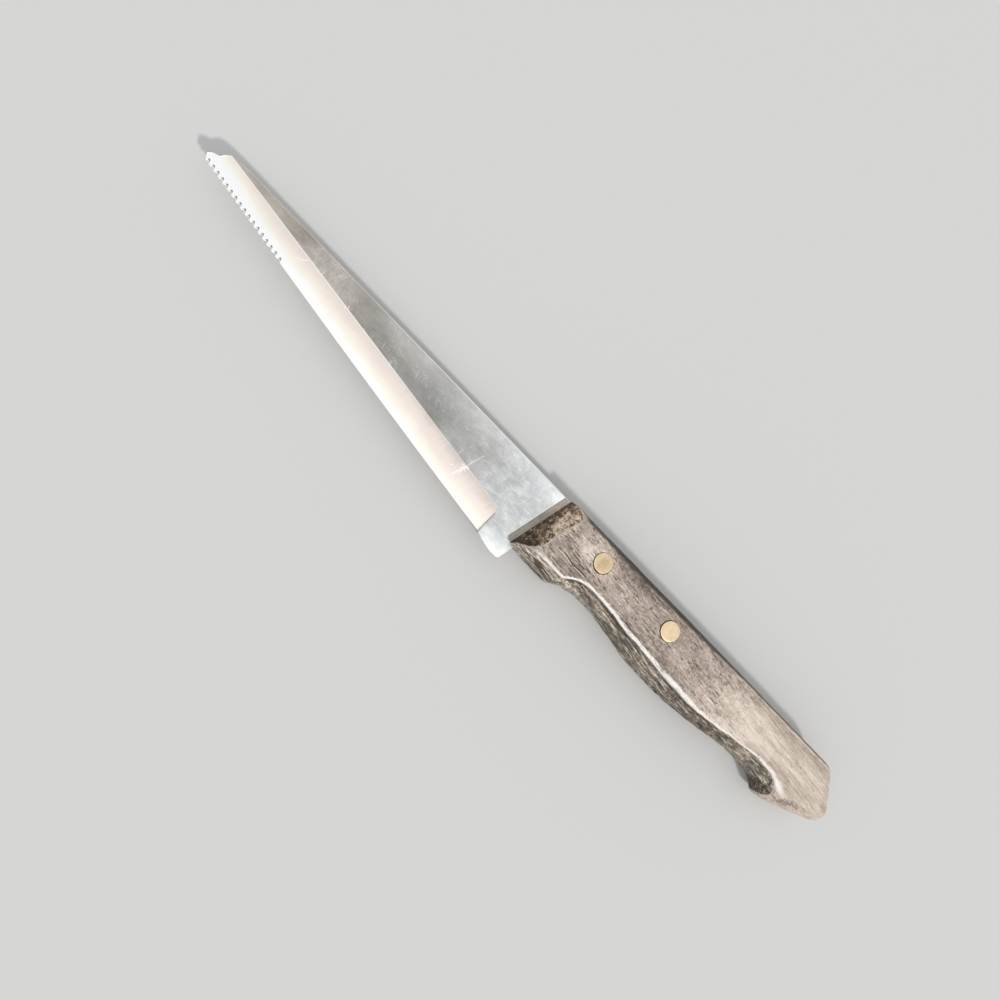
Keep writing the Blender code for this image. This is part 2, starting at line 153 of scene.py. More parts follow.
def rows_between(low, high, shares, kind):
    """Rows of one kind at shares of the way between two heights."""
    return [(low + (high - low) * share, kind) for share in shares]


def blade_section(top_x, top_y, low_x, low_y, ground, full=False):
    """One closed ring round the blade, and for each of its points the finish found there.

    A full ring has the ground side's rows at the sheet's whole thickness, for the plunge's wall.
    """
    flat_top = top_y - SPINE_EASE
    slope = tan(TOOTH_TILT)
    gap = None
    if ground:
        corner = max(low_x - (PLUNGE_X - PLUNGE_CORNER), 0.0)
        line = min(grind_line(low_x) - round_off(PLUNGE_CORNER, corner), top_y - 0.16 * mm)
        gap = tooth_recess(low_x)
        start = 0.0
        flute = 0.06 * mm
        if gap:
            recess = gap[0]
            start = max(0.0, recess - slope * EDGE_HALF)
            inner = recess
            for _ in range(6):
                inner = max(recess + slope * ground_half(low_x, low_y + inner), start + 0.03 * mm)
            flute = inner - start
        rows = [(low_y + start, FLUTE), (low_y + start + flute / 2, FLUTE), (low_y + start + flute, SIDE)]
        rows += rows_between(rows[2][0], line - LINE_HALF, SIDE_SHARES, SIDE)
        rows += rows_between(line + LINE_HALF, flat_top, (0.0, *FLAT_SHARES), FLAT)
    else:
        rows = [(low_y, PLAIN), (low_y + EASE_ROW, PLAIN), (low_y + SPINE_EASE, PLAIN)]
        rows += rows_between(low_y + SPINE_EASE, flat_top, PLAIN_SHARES, PLAIN)
    rows += [(flat_top, EASED), (top_y - EASE_ROW, EASED), (top_y, EASED)]
    worked = ground and not full
    upper, lower, finish = [], [], []
    for i, (y, kind) in enumerate(rows):
        on_side = worked and kind in (FLUTE, SIDE)
        half = BLADE_HALF
        if on_side or worked and kind == EASED and grind_line(low_x) > y:
            half = ground_half(low_x, y)
        if kind == EASED:
            half -= min(round_off(SPINE_EASE, y - flat_top), 0.5 * half)
        if kind == PLAIN and i < 3:
            half -= round_off(SPINE_EASE, low_y + SPINE_EASE - y)
        z = half
        if gap and kind == FLUTE:
            z = min(z, max((y - low_y - recess) / slope, -half + 0.012 * mm))
        x = low_x + (top_x - low_x) * ((y - low_y) / (top_y - low_y))
        upper.append(Vector((x, y, z)))
        lower.append(Vector((x, y, -half)))
        across = (grind_line(low_x) - y) / (grind_line(low_x) - edge_line(low_x)) if worked else -1.0
        finish.append((float(on_side), across, gap[1] if gap and i in (1, 2) else 0.0))
    return upper + lower[::-1], finish + finish[::-1]


def lofted(rings):
    """A closed shape through rings of points, each bridged to the next, with its ends filled."""
    shape = bmesh.new()
    loops = []
    for ring in rings:
        verts = [shape.verts.new(point + START) for point in ring]
        loops.append([shape.edges.new(pair) for pair in zip(verts, verts[1:] + verts[:1])])
    for one, two in zip(loops, loops[1:]):
        bmesh.ops.bridge_loops(shape, edges=one + two)
    bmesh.ops.holes_fill(shape, edges=loops[0] + loops[-1], sides=0)
    return shape


def shown(name, data):
    """An object in the scene for a mesh, a light or a camera."""
    thing = bpy.data.objects.new(name, data)
    bpy.context.scene.collection.objects.link(thing)
    return thing


def new_object(name, shape):
    """An object for a finished shape, which is then freed."""
    mesh = bpy.data.meshes.new(name)
    shape.to_mesh(mesh)
    shape.free()
    return shown(name, mesh)


def new_piece(name, shape, angle):
    """A smooth object for a closed shape, whose edges sharper than the angle stay sharp."""
    bmesh.ops.recalc_face_normals(shape, faces=shape.faces)
    if shape.calc_volume(signed=True) < 0:
        bmesh.ops.reverse_faces(shape, faces=shape.faces)
    piece = new_object(name, shape)
    piece.data.shade_smooth()
    piece.data.set_sharp_from_angle(angle=radians(angle))
    return piece


def mark_points(piece, names, rows):
    """Stores named values on a piece, from one row of them for each of its points in turn."""
    for name, values in zip(names, zip(*rows)):
        piece.data.attributes.new(name, "FLOAT", "POINT").data.foreach_set("value", values)


def round_cutter(place, radius, low, high, steps=64):
    """An upright cylinder to cut with, between two heights."""
    shape = bmesh.new()
    middle = Matrix.Translation(START + Vector((*place, (low + high) / 2)))
    bmesh.ops.create_cone(shape, cap_ends=True, segments=steps, radius1=radius, radius2=radius,
                          depth=high - low, matrix=middle)
    return new_object("round_cutter", shape)


def cut_away(piece, cutters):
    """Takes the cutters out of a piece for good, and removes them."""
    for cutter in cutters:
        step = piece.modifiers.new("cut", "BOOLEAN")
        step.operation = "DIFFERENCE"
        step.solver = "EXACT"
        step.object = cutter
    bpy.context.view_layer.update()
    solid = piece.evaluated_get(bpy.context.evaluated_depsgraph_get())
    mesh = bpy.data.meshes.new_from_object(solid)
    mesh.materials.clear()
    piece.modifiers.clear()
    piece.data = mesh
    for cutter in cutters:
        bpy.data.objects.remove(cutter, do_unlink=True)


TOOTH_STEPS = 14
nose = [NOSE_START + NOSE_RUN * (1 - cos(pi / 2 * i / 10)) for i in range(2, 10)]
teeth = [(TEETH_START + TOOTH_PITCH * cos(EDGE_SLANT) * i / TOOTH_STEPS) / mm
         for i in range(2, TOOTH_STEPS * TOOTH_COUNT + 1)]
plain = list(np.linspace(teeth[-1] + 0.2, PLUNGE_X / mm - 1.0, 90))
plunge = [PLUNGE_X / mm - PLUNGE_CORNER / mm * (1 - i / 9) for i in range(9)] + [PLUNGE_X / mm - 0.03]
sections = []
for station in nose + teeth + plain + plunge:
    x = station * mm
    top_y = along(TIP_PATH, x) if x < TIP_PATH[-1][0] * mm else 0.0
    low_y = along(NOSE_PATH, x) if x < NOSE_PATH[-1][0] * mm else edge_line(x)
    sections.append(blade_section(x, top_y, x, low_y, True))
sections.append(blade_section(PLUNGE_X, 0.0, PLUNGE_X, edge_line(PLUNGE_X) - 0.05 * mm, True, full=True))
for top_x, low_x, low_y in HEEL_PATH + TANG_PATH:
    sections.append(blade_section(top_x * mm, 0.0, low_x * mm, low_y * mm, False))
blade = new_piece("blade_with_tang_ground", lofted([ring for ring, finish in sections]), 24)
mark_points(blade, ("ground", "across", "hollow"), [row for ring, finish in sections for row in finish])
for centre in RIVET_PLACES:
    cut_away(blade, [round_cutter(centre, SHANK_HOLE, -HOLE_REACH, HOLE_REACH)])


class Flow:
    """A socket of a material. Arithmetic on it adds Math nodes, and node() adds any other."""

    def __init__(self, tree, socket):
        self.tree = tree
        self.socket = socket

    def node(self, kind, settings, inputs, output=0):
        made = self.tree.nodes.new(kind)
        for name, value in settings.items():
            if name == "stops":
                ramp = made.color_ramp.elements
                while len(ramp) < len(value):
                    ramp.new(0.5)
                for stop, (position, colour) in zip(ramp, value):
                    stop.position = position
                    stop.color = (*colour, 1.0)
            else:
                setattr(made, name, value)
        for name, value in inputs.items():
            if isinstance(value, Flow):
                self.tree.links.new(value.socket, made.inputs[name])
            else:
                made.inputs[name].default_value = value
        return Flow(self.tree, made.outputs[output])

    def math(self, operation, *values):
        settings = {"operation": operation}
        return self.node("ShaderNodeMath", settings, dict(enumerate(values)))

    def __add__(self, other):
        return self.math("ADD", self, other)

    __radd__ = __add__

    def __sub__(self, other):
        return self.math("SUBTRACT", self, other)

    def __rsub__(self, other):
        return self.math("SUBTRACT", other, self)

    def __mul__(self, other):
        return self.math("MULTIPLY", self, other)

    __rmul__ = __mul__

    def __truediv__(self, other):
        return self.math("DIVIDE", self, other)

    def clamp(self):
        return self.math("MINIMUM", self.math("MAXIMUM", self, 0.0), 1.0)

    def least(self, other):
        return self.math("MINIMUM", self, other)

    def most(self, other):
        return self.math("MAXIMUM", self, other)

    def away(self):
        return self.math("ABSOLUTE", self)

    def step(self, low, high):
        """0 below low, 1 above high, and smooth between; a high under low runs the other way."""
        settings = {"interpolation_type": "SMOOTHSTEP"}
        inputs = {"Value": self, "From Min": low, "From Max": high, "To Min": 0.0, "To Max": 1.0}
        if high < low:
            inputs.update({"From Min": high, "From Max": low, "To Min": 1.0, "To Max": 0.0})
        return self.node("ShaderNodeMapRange", settings, inputs)

    def colours(self, *points):
        """This value read off a row of colours, each a value and its colour."""
        low, high = points[0][0], points[-1][0]
        share = (self - low) / (high - low)
        stops = [((value - low) / (high - low), colour) for value, colour in points]
        return self.node("ShaderNodeValToRGB", {"stops": stops}, {"Fac": share})

    def curve(self, *points):
        """This value read off a curve of points, each a value and what it becomes, 0 or more."""
        return self.colours(*[(value, (level,) * 3) for value, level in points])

    def shade(self, colour):
        """The colour made lighter or darker by this factor."""
        return self.node("ShaderNodeVectorMath", {"operation": "SCALE"}, {0: colour, "Scale": self})

    def tint(self, under, over):
        """The colour under, covered by the colour over as far as this value says."""
        over = over if isinstance(over, Flow) else (*over, 1.0)
        return self.node("ShaderNodeMix", {"data_type": "RGBA"}, {0: self, 6: under, 7: over}, 2)


def surface(name, metallic, roughness):
    """A new Principled material, its shader node and the knife's own coordinates in millimetres."""
    made = bpy.data.materials.new(name)
    made.use_nodes = True
    shader = made.node_tree.nodes["Principled BSDF"]
    shader.inputs["Metallic"].default_value = metallic
    shader.inputs["Roughness"].default_value = roughness
    flow = Flow(made.node_tree, None)
    place = flow.node("ShaderNodeTexCoord", {}, {}, "Object")
    place = flow.node("ShaderNodeVectorMath", {"operation": "SUBTRACT"}, {0: place, 1: tuple(START)})
    place = flow.node("ShaderNodeVectorMath", {"operation": "SCALE"}, {0: place, "Scale": 1 / mm})
    return made, shader, place


def parts_of(place):
    return [place.node("ShaderNodeSeparateXYZ", {}, {0: place}, axis) for axis in range(3)]


def joined(x, y, z):
    return x.node("ShaderNodeCombineXYZ", {}, {0: x, 1: y, 2: z})


def distance(x, y):
    """How far a place is from where both of these values are 0."""
    return x.node("ShaderNodeVectorMath", {"operation": "LENGTH"}, {0: joined(x, y, 0.0)}, 1)


def moved(place, stretch, shift):
    """The place stretched along each axis and then shifted."""
    settings = {"operation": "MULTIPLY_ADD"}
    return place.node("ShaderNodeVectorMath", settings, {0: place, 1: stretch, 2: shift})


def mottle(place, scale, detail, rough, stretch=(1.0, 1.0, 1.0), shift=(0.0, 0.0, 0.0)):
    """Noise round 0, about -0.5 to 0.5, at so many lumps a millimetre along each axis."""
    scaled = moved(place, tuple(scale * part for part in stretch), shift)
    inputs = {"Vector": scaled, "Scale": 1.0, "Detail": detail, "Roughness": rough}
    return place.node("ShaderNodeTexNoise", {}, inputs) - 0.5


def flecks(place, length, width, shift=(0.0, 0.0, 0.0)):
    """Scattered short marks: 1 on each and 0 between, and a random value for each mark."""
    scaled = moved(place, (0.6 / length, 0.6 / width, 0.6 / width), shift)
    apart = place.node("ShaderNodeTexVoronoi", {}, {"Vector": scaled, "Scale": 1.0}, "Distance")
    pick = Flow(place.tree, apart.socket.node.outputs["Color"])
    return apart.step(0.30, 0.14), place.node("ShaderNodeSeparateXYZ", {}, {0: pick}, 0)


def read_mark(place, name):
    return place.node("ShaderNodeAttribute", {"attribute_name": name}, {}, "Fac")


def wire_up(shader, colour, roughness, height, depth):
    """Links what varies over a surface to its shader, with height as a bump of this depth."""
    bump = colour.node("ShaderNodeBump", {}, {"Strength": 1.0, "Distance": depth, "Height": height})
    for name, source in (("Base Color", colour), ("Roughness", roughness), ("Normal", bump)):
        colour.tree.links.new(source.socket, shader.inputs[name])


steel, steel_shader, place = surface("blade_steel_ground", metallic=1.0, roughness=0.36)
x, y, z = parts_of(place)
ground = read_mark(place, "ground").step(0.35, 0.65)
across = read_mark(place, "across")
hollow = read_mark(place, "hollow")

# The flats are satin, with smears and faint lengthwise lines, and paler to the handle and the spine; the
# paleness towards the handle and at the heel is painted reflection of the key light
smear = mottle(place, 0.20, 4.0, 0.6, (0.6, 1.2, 1.0))
cloud = mottle(place, 0.80, 5.0, 0.80, (0.8, 1.2, 1.0), (3.0, 8.0, 0.0))
puffs = mottle(place, 0.42, 4.0, 0.6, (0.8, 1.1, 1.0), (7.0, 3.0, 0.0))
satin = mottle(place, 1.0, 3.0, 0.6, (0.26, 3.6, 1.0))
brushed = mottle(place, 1.0, 2.0, 0.6, (3.4, 0.35, 1.0), (0.0, 31.0, 0.0))
flat_colour = x.colours(
    (-118, (0.55, 0.505, 0.450)), (-108, (0.540, 0.482, 0.417)), (-100, (0.545, 0.480, 0.410)),
    (-90, (0.415, 0.368, 0.327)), (-84, (0.590, 0.545, 0.485)), (-78, (0.615, 0.565, 0.505)),
    (-70, (0.390, 0.360, 0.322)), (-60, (0.360, 0.346, 0.320)), (-50, (0.393, 0.383, 0.360)),
    (-40, (0.355, 0.347, 0.328)), (-30, (0.475, 0.470, 0.450)), (-20, (0.540, 0.542, 0.530)),
    (-10, (0.645, 0.658, 0.652)), (2, (0.780, 0.797, 0.780)))
to_handle = x.step(-42.0, -12.0)
frost = (puffs.step(-0.03, 0.16) * 0.20 + cloud.step(0.04, 0.18) * 0.12) * to_handle
cross_lines = brushed * (0.18 + (x + 80.5).away().step(7.0, 3.0) * 0.45)
to_back = x.curve(
    (-108, 0.24), (-92, 0.17), (-84, 0.10), (-76, 0.10), (-60, 0.72), (-34, 0.68),
    (-20, 0.46), (0, 0.54)) - 0.24
# Painted reflection: the heel of the flat is made paler
to_heel = y.step(-17.0, -22.5) * x.step(-14.0, -9.0)
shade = 0.97 + y.step(-6.5, -0.3) * to_back
shade = shade + smear * 0.55 + cloud * 0.42 + satin * 0.34 + cross_lines + frost + to_heel * 0.42
flat_colour = shade.shade(flat_colour)

# The ground sides carry the wheel's lines across them, and run from cream to white at the edge as painted
# reflection of the light.
# Where they meet the flats a painted highlight runs along the grind line.
slant = joined(x + y * -0.12, y, z)
wheel_fine = mottle(slant, 1.0, 2.0, 0.7, (2.6, 0.30, 0.3))
wheel_broad = mottle(slant, 1.0, 2.0, 0.6, (0.7, 0.14, 0.3), (4.0, 0.0, 0.0))
wheel = (wheel_fine * 0.40 + wheel_broad * 0.10) * x.curve(
    (-118, 0.4), (-48, 0.5), (-34, 1.0), (-12, 1.1))
# Painted reflection: the ground sides lighten towards the edge and the tip
side_tone = across + x.curve(
    (-118, 0.50), (-108, 0.38), (-98, 0.17), (-80, 0.12), (-60, 0.03), (-35, 0.0),
    (-12, 0.0)) - x.step(-62.0, -18.0) * 0.27
side_tone = side_tone + wheel + smear * 0.25 + cloud * 0.16
side_colour = side_tone.colours(
    (-0.2, (0.66, 0.585, 0.525)), (0.08, (0.800, 0.722, 0.662)), (0.35, (0.875, 0.780, 0.705)),
    (0.60, (0.955, 0.885, 0.785)), (0.78, (0.980, 0.960, 0.905)), (1, (0.995, 0.995, 0.990)))
from_line = across.away() * (x * 0.019 + 7.6)
# The painted highlight along the grind line
grind_highlight = from_line.step(0.17, 0.05) * x.curve((-114, 0.9), (-60, 0.9), (-40, 0.4), (-12, 0.25))


def stroke(x, y, start, end, width):
    """1 on a straight mark between two points of the knife, fading to 0 at its sides and ends."""
    middle = (Vector(start) + Vector(end)) / 2
    reach = (Vector(end) - Vector(start)).length / 2
    run = (Vector(end) - Vector(start)) / (2 * reach)
    along_it = x * run.x + (y * run.y - middle.dot(run))
    beside_it = y * run.x - (x * run.y - middle.cross(run))
    inside = along_it.away().step(reach + 0.5 * width, max(reach - 2 * width, 0.3 * reach))
    return beside_it.away().step(width, 0.3 * width) * inside


marks = x * 0.0
for start, end, width, strength in (
        ((-26.41, -16.37), (-24.88, -11.52), 0.15, 0.8),
        ((-24.88, -11.52), (-23.75, -7.47), 0.12, 0.75),
        ((-26.62, -12.90), (-23.87, -12.67), 0.17, 0.9),
        ((-26.14, -12.31), (-24.24, -13.72), 0.16, 0.9),
        ((-26.21, -13.85), (-24.21, -12.09), 0.22, 0.9),
        ((-25.52, -15.21), (-25.00, -12.83), 0.22, 0.9),
        ((-28.10, -14.99), (-27.63, -14.41), 0.26, 0.7),
        ((-28.75, -11.89), (-28.43, -10.15), 0.1, 0.6),
        ((-87.64, -6.42), (-86.67, -6.10), 0.13, 0.9),
        ((-86.67, -6.10), (-85.01, -4.81), 0.13, 0.9),
        ((-71.62, -6.90), (-72.12, -5.85), 0.13, 0.9),
        ((-71.14, -6.52), (-71.45, -5.33), 0.13, 0.9),
        ((-54.97, -9.24), (-55.83, -7.40), 0.11, 0.7),
        ((-55.14, -8.18), (-55.40, -7.29), 0.11, 0.6),
        ((-64.10, -7.49), (-65.48, -6.62), 0.12, 0.5),
        ((-48.65, -6.42), (-49.38, -4.07), 0.1, 0.5),
        ((-59.26, -6.89), (-59.60, -5.18), 0.1, 0.5),
        ((-80.60, -5.45), (-80.95, -3.77), 0.12, 0.7)):
    marks = marks.most(stroke(x, y, start, end, width) * strength)
marks = marks.most((distance(x + 3.2, y + 2.6) - 0.56).away().step(0.20, 0.06) * 0.55)
hairline = x * 0.0
for turn, shift, length, strength in (
        (38.0, 0.0, 3.2, 0.6), (-62.0, 7.0, 1.9, 0.8), (-82.0, 3.0, 1.4, 0.9), (64.0, 12.0, 2.4, 0.7),
        (4.0, 21.0, 3.6, 0.5)):
    swung = place.node("ShaderNodeMapping", {}, {"Vector": place, "Rotation": (0.0, 0.0, radians(turn))})
    fleck, pick = flecks(swung, length, 0.16, (shift, shift, 0.3))
    hairline = hairline.most(fleck * pick.step(0.60, 0.80) * strength)
hairline = hairline * (1 - ground * 0.85) * (smear + 0.5).step(0.40, 0.56)

# A narrow strip along the wood and the tang behind it carries the handle's painted shadow, with a dark
# painted line at its outer edge, and is a little rougher
band = x + y * -tan(FRONT_LEAN)
band_end = band.curve((-1.8, 2.2), (-1.57, 1.95), (-1.40, 1.50), (-1.15, 1.2), (-0.8, 1.05), (0.2, 1.0))
inside_slot = band.step(0.3, 0.9) * x.step(-3.2, -2.8)
near_wood = band.step(-1.66, -1.48) * (y - band_end + 18.95).step(-0.08, 0.08).most(inside_slot)
handle_shadow_paint = y.colours(
    (-18.5, (0.42, 0.365, 0.315)), (-13, (0.40, 0.350, 0.300)), (-8, (0.325, 0.278, 0.238)),
    (-3, (0.51, 0.420, 0.350)), (0, (0.54, 0.460, 0.390)))
handle_shadow_runs = mottle(place, 1.0, 3.0, 0.6, (3.0, 0.7, 1.0), (2.0, 9.0, 0.0))
handle_shadow_paint = (1 + cloud * 1.1 + handle_shadow_runs * 0.7).shade(handle_shadow_paint)
handle_shadow_edge = (band + 1.50).away().step(0.22, 0.05) * near_wood
colour = ground.tint(flat_colour, side_colour)
colour = (hairline * 0.55).tint(colour, (0.88, 0.88, 0.86))
colour = (marks * (0.85 - ground * 0.15)).clamp().tint(colour, (0.98, 0.965, 0.93))
# A painted highlight along the spine's eased edge, which runs on over the painted shadow strip
spine_highlight = y.step(-0.34, -0.16) * x.curve((-118, 0.2), (-70, 0.35), (-40, 0.75), (0, 0.9))
colour = grind_highlight.most(spine_highlight).tint(colour, (0.99, 0.975, 0.95))
# Painted shade on the plunge's wall, which faces the tip
plunge_line = (x + 12.0).away().step(0.22, 0.06) * y.step(-15.2, -15.8)
colour = (plunge_line * 0.55).tint(colour, (0.25, 0.22, 0.19))
# The handle's painted shadow on the strip, and the dark line at its edge
colour = near_wood.tint(colour, handle_shadow_paint)
colour = (handle_shadow_edge * 0.6).tint(colour, (0.10, 0.085, 0.08))
colour = (spine_highlight * near_wood * 0.55).tint(colour, (0.80, 0.74, 0.69))
# Painted shade on the far wall of each tooth gap's flute
flute_shade = hollow.step(0.30, 0.85) * 0.80
colour = flute_shade.tint(colour, (0.11, 0.11, 0.11))
roughness = 0.36 + smear * 0.12 + cloud * 0.10 + ground * 0.03 + marks * 0.10 + near_wood * 0.14
height = satin * (1 - ground) * 0.35 + wheel_fine * ground * 0.4 - marks * 0.8 - hairline * 0.4
wire_up(steel_shader, colour, roughness, height, 0.02 * mm)
blade.data.materials.append(steel)
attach(blade, "root")
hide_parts("blade_with_tang")

# Handle: one piece of open-grained hardwood, slotted for the tang and shaped with a guard, two
# finger grooves and a hooked butt. Its finish is long gone: grey-brown and fibrous, dark on the
# end grain of the sloping front, and rubbed pale along the ridge above the belly, where a painted
# highlight adds to the paleness.
HANDLE_HALF = 6.0 * mm
LEAN_KEPT, LEAN_FADES = 5.0, 14.0
SPINE_RUN, SPINE_POWER = 2.4, 2.6
BUTT_STARTS, BUTT_BLEND, BUTT_EXTRA = 99.0, 3.0, 0.6
SLOT_HALF = 0.87 * mm
SLOT_START, SLOT_END = -20 * mm, 51.5 * mm
SLOT_MIDDLE_Y, SLOT_WIDTH = -9 * mm, 40 * mm
BUTT_CENTRE = (104.77 * mm, -10.83 * mm)
BUTT_RADIUS = 3.8 * mm
BUTT_ROUNDING = 1.7 * mm
BUTT_LOW_SLOPE, BUTT_HIGH_SLOPE = -2.57, 0.713
BUTT_MEETS_BELLY = 106.15 * mm
BUTT_MEETS_SPINE = 107.87 * mm
HEAD_RADII = [2.60 * mm, 2.68 * mm]
HOLE_SHIFTS = [(-0.05 * mm, -0.13 * mm), (-0.15 * mm, -0.06 * mm)]
HEAD_CLEARANCE = 0.12 * mm
HEAD_SEAT = 4.55 * mm
HEAD_REACH = 9 * mm
SPINE_PATH = [
    (-2, 0.26), (0, 0.28), (25, 0.34), (50, 0.38), (80, 0.36), (99.8, 0.31), (100.57, 0.28),
    (101, 0.20), (101.4, 0.02), (101.7, -0.16), (102.04, -0.46), (110.7, -12.60)]
BELLY_PATH = [
    (-7, -18.00), (-4.5, -18.02), (0, -18.15), (4, -18.28), (8.2, -18.46), (9.3, -18.52),
    (10.1, -18.38), (10.9, -17.95), (12, -17.25), (13.4, -16.60), (15, -16.12), (17, -15.72),
    (19, -15.42), (22.8, -15.42), (25.3, -15.66), (28.4, -16.10), (32, -16.85), (36, -17.62),
    (40, -18.10), (44, -18.40), (49.5, -18.60), (55, -18.45), (61, -17.85), (64.5, -17.50),
    (68, -17.02), (71.5, -16.55), (75, -16.08), (78.5, -15.72), (81.5, -15.70), (84, -15.90),
    (86.5, -16.35), (88.2, -16.90), (89.2, -17.50), (90, -18.25), (90.7, -18.85), (91.4, -19.02),
    (92.2, -18.98), (94, -18.50), (98.5, -17.05), (104, -15.20), (110.7, -12.60)]
RIDGE_PATH = [
    (-7, -15.90), (-1, -16.35), (0.8, -15.95), (2.2, -15.72), (4.4, -15.56), (6.3, -15.62),
    (8.1, -15.73), (9.9, -15.70), (10.8, -15.30), (11.6, -14.66), (12.8, -13.92), (14, -13.25),
    (15.6, -12.72), (18.2, -12.45), (21, -12.48), (24.2, -12.76), (27, -13.00), (29, -13.32),
    (31, -13.60), (34.5, -13.84), (38.6, -14.12), (41.6, -14.30), (46, -14.72), (49.5, -14.84),
    (52, -14.80), (54.5, -15.08), (57, -15.22), (61, -15.05), (64.6, -14.65), (68.2, -14.36),
    (71, -13.76), (73, -13.46), (75, -13.27), (78.6, -12.79), (81.1, -12.52), (85.5, -12.62),
    (87.9, -12.84), (90.1, -13.64), (92, -14.45), (93, -14.75), (94.5, -14.75), (97, -14.20),
    (100, -13.40), (104, -12.30), (106.4, -11.50), (110.7, -11.00)]
# The wall's share of half the thickness and the roundness of its edge, at x; the slope's reach, at y
BELLY_WALL_PATH = [
    (-7, 0.60), (24, 0.58), (34, 0.42), (44, 0.32), (60, 0.30), (78, 0.36), (85, 0.46),
    (90.8, 0.46), (93, 0.26), (100, 0.16), (110.7, 0.12)]
BELLY_POWER_PATH = [
    (-7, 1.25), (10, 1.15), (14, 1.15), (30, 1.25), (44, 1.45), (60, 1.45), (70, 1.25),
    (80, 1.15), (84, 1.0), (89.5, 0.92), (91, 1.15), (93.5, 2.3), (110.7, 2.4)]
FRONT_SLOPE_PATH = [
    (-19, 2.7), (-16, 3.1), (-14.3, 3.5), (-10.6, 3.95), (-7, 4.4), (-3, 4.2), (1, 4.0)]


def smooth_path(path, x):
    """A path read at x with its corners rounded off."""
    spread = (-0.5, -0.25, 0.0, 0.25, 0.5)
    return sum(along(path, x + part * mm) for part in spread) / len(spread)


def share_path(path, x):
    """A plain number read from a path at x."""
    return along(path, x) / mm


def bulge(share, power):
    """How much of its full run a rounded side has used when it has risen by this share."""
    return 1.0 - (1.0 - min(share, 1.0) ** power) ** (1.0 / power)


def rise(run, power):
    """How far a rounded side has risen after this share of its run."""
    return (1.0 - (1.0 - held(run)) ** power) ** (1.0 / power)


def soft_least(a, b, blend):
    """The lesser of two heights, with the crease between them worn round."""
    near = max(blend - abs(a - b), 0.0) / blend
    return min(a, b) - near * near * blend / 4


def handle_outline(x):
    """The lowest and the highest y of the handle at x, with the butt's corner rounded."""
    low = smooth_path(BELLY_PATH, x)
    top = smooth_path(SPINE_PATH, x)
    reach = min(max(x - BUTT_CENTRE[0], 0.0), BUTT_RADIUS)
    half = sqrt(BUTT_RADIUS ** 2 - reach ** 2)
    if x > BUTT_MEETS_BELLY:
        low = max(low, BUTT_CENTRE[1] - half)
    if x > BUTT_MEETS_SPINE:
        top = min(top, BUTT_CENTRE[1] + half)
    return low, top


def front_slope(y):
    """How far behind the front line the sloping end grain reaches at y."""
    return along(FRONT_SLOPE_PATH, y)


def handle_section(station):
    """One closed ring round the handle. Near the front the rings lean as its face does."""
    fade = 1.0 - held((station / mm - LEAN_KEPT) / LEAN_FADES)
    lean = tan(FRONT_LEAN) * fade * fade * (3 - 2 * fade)
    low = ridge = -16.0 * mm
    for _ in range(6):
        low = handle_outline(station + low * lean)[0]
        ridge = smooth_path(RIDGE_PATH, station + ridge * lean)
    top = handle_outline(station)[1]
    wall = share_path(BELLY_WALL_PATH, station)
    power = share_path(BELLY_POWER_PATH, station)
    butt = held((station / mm - BUTT_STARTS) / BUTT_BLEND)
    spine_run = (SPINE_RUN + BUTT_EXTRA * butt) * mm
    spine_power = SPINE_POWER - BUTT_EXTRA * butt
    flat_top = top - min(spine_run, 0.5 * (top - low))
    ridge_row = max(min(ridge, flat_top - 0.02 * mm), low + 0.02 * mm)
    turns = [sin(pi / 2 * i / 9) for i in range(10)]
    rows = [top - (top - flat_top) * bulge(share, spine_power) for share in turns]
    rows += [flat_top + (ridge_row - flat_top) * i / 36 for i in range(1, 36)]
    turns = [sin(pi / 2 * i / 15) for i in range(16)]
    rows += [low + (ridge_row - low) * bulge(share, power) for share in reversed(turns)]
    rows += [low, low, low]
    heights = []
    for i, y in enumerate(rows):
        x = station + y * lean
        height = rise((top - y) / spine_run, spine_power)
        belly_run = max(ridge - low, 1.8 * mm)
        belly = wall + (1 - wall) * rise((y - low) / belly_run, power)
        height = soft_least(height, belly, 0.02)
        height = soft_least(height, rise(station * cos(FRONT_LEAN) / front_slope(y), 1.5), 0.05)
        out = Vector((x - BUTT_CENTRE[0], y - BUTT_CENTRE[1]))
        if x > BUTT_CENTRE[0] and BUTT_LOW_SLOPE * out.x < out.y < BUTT_HIGH_SLOPE * out.x:
            rim = 0.12 + 0.88 * rise((BUTT_RADIUS - out.length) / BUTT_ROUNDING, 2.0)
            height = soft_least(height, rim, 0.02) if i else 0.0
        last = len(rows) - 4
        heights.append(max(height, 0.0) if i <= last else heights[-1] - heights[last] / 3)
    heights[0] = heights[-1] = 0.0
    upper = [Vector((station + y * lean, y, HANDLE_HALF * height)) for y, height in zip(rows, heights)]
    lower = [Vector((point.x, point.y, -point.z)) for point in upper]
    return upper + lower[::-1][1:-1]


stations = [0.06, 0.14, 0.24, 0.36, 0.5, 0.66, 0.84, 1.05, 1.3, 1.55, 1.8]
stations += [2.1, 2.4, 2.7, 3.0, 3.3, 3.6, 3.9]
for start, end, pace in ((4.15, 86.0, 0.38), (86.1, 93.2, 0.2), (93.4, 105.0, 0.36)):
    stations += list(np.arange(start, end, pace))
stations += [104.77 + 3.8 * sin(pi / 2 * i / 18) for i in range(2, 18)] + [108.562]
handle_rings = [handle_section(float(station) * mm) for station in stations]
handle = new_piece("handle_weathered", lofted(handle_rings), 60)


def behind_front(x, y):
    """How far a place is behind the slanting line where the wood begins."""
    return (x - y * tan(FRONT_LEAN)) * cos(FRONT_LEAN)


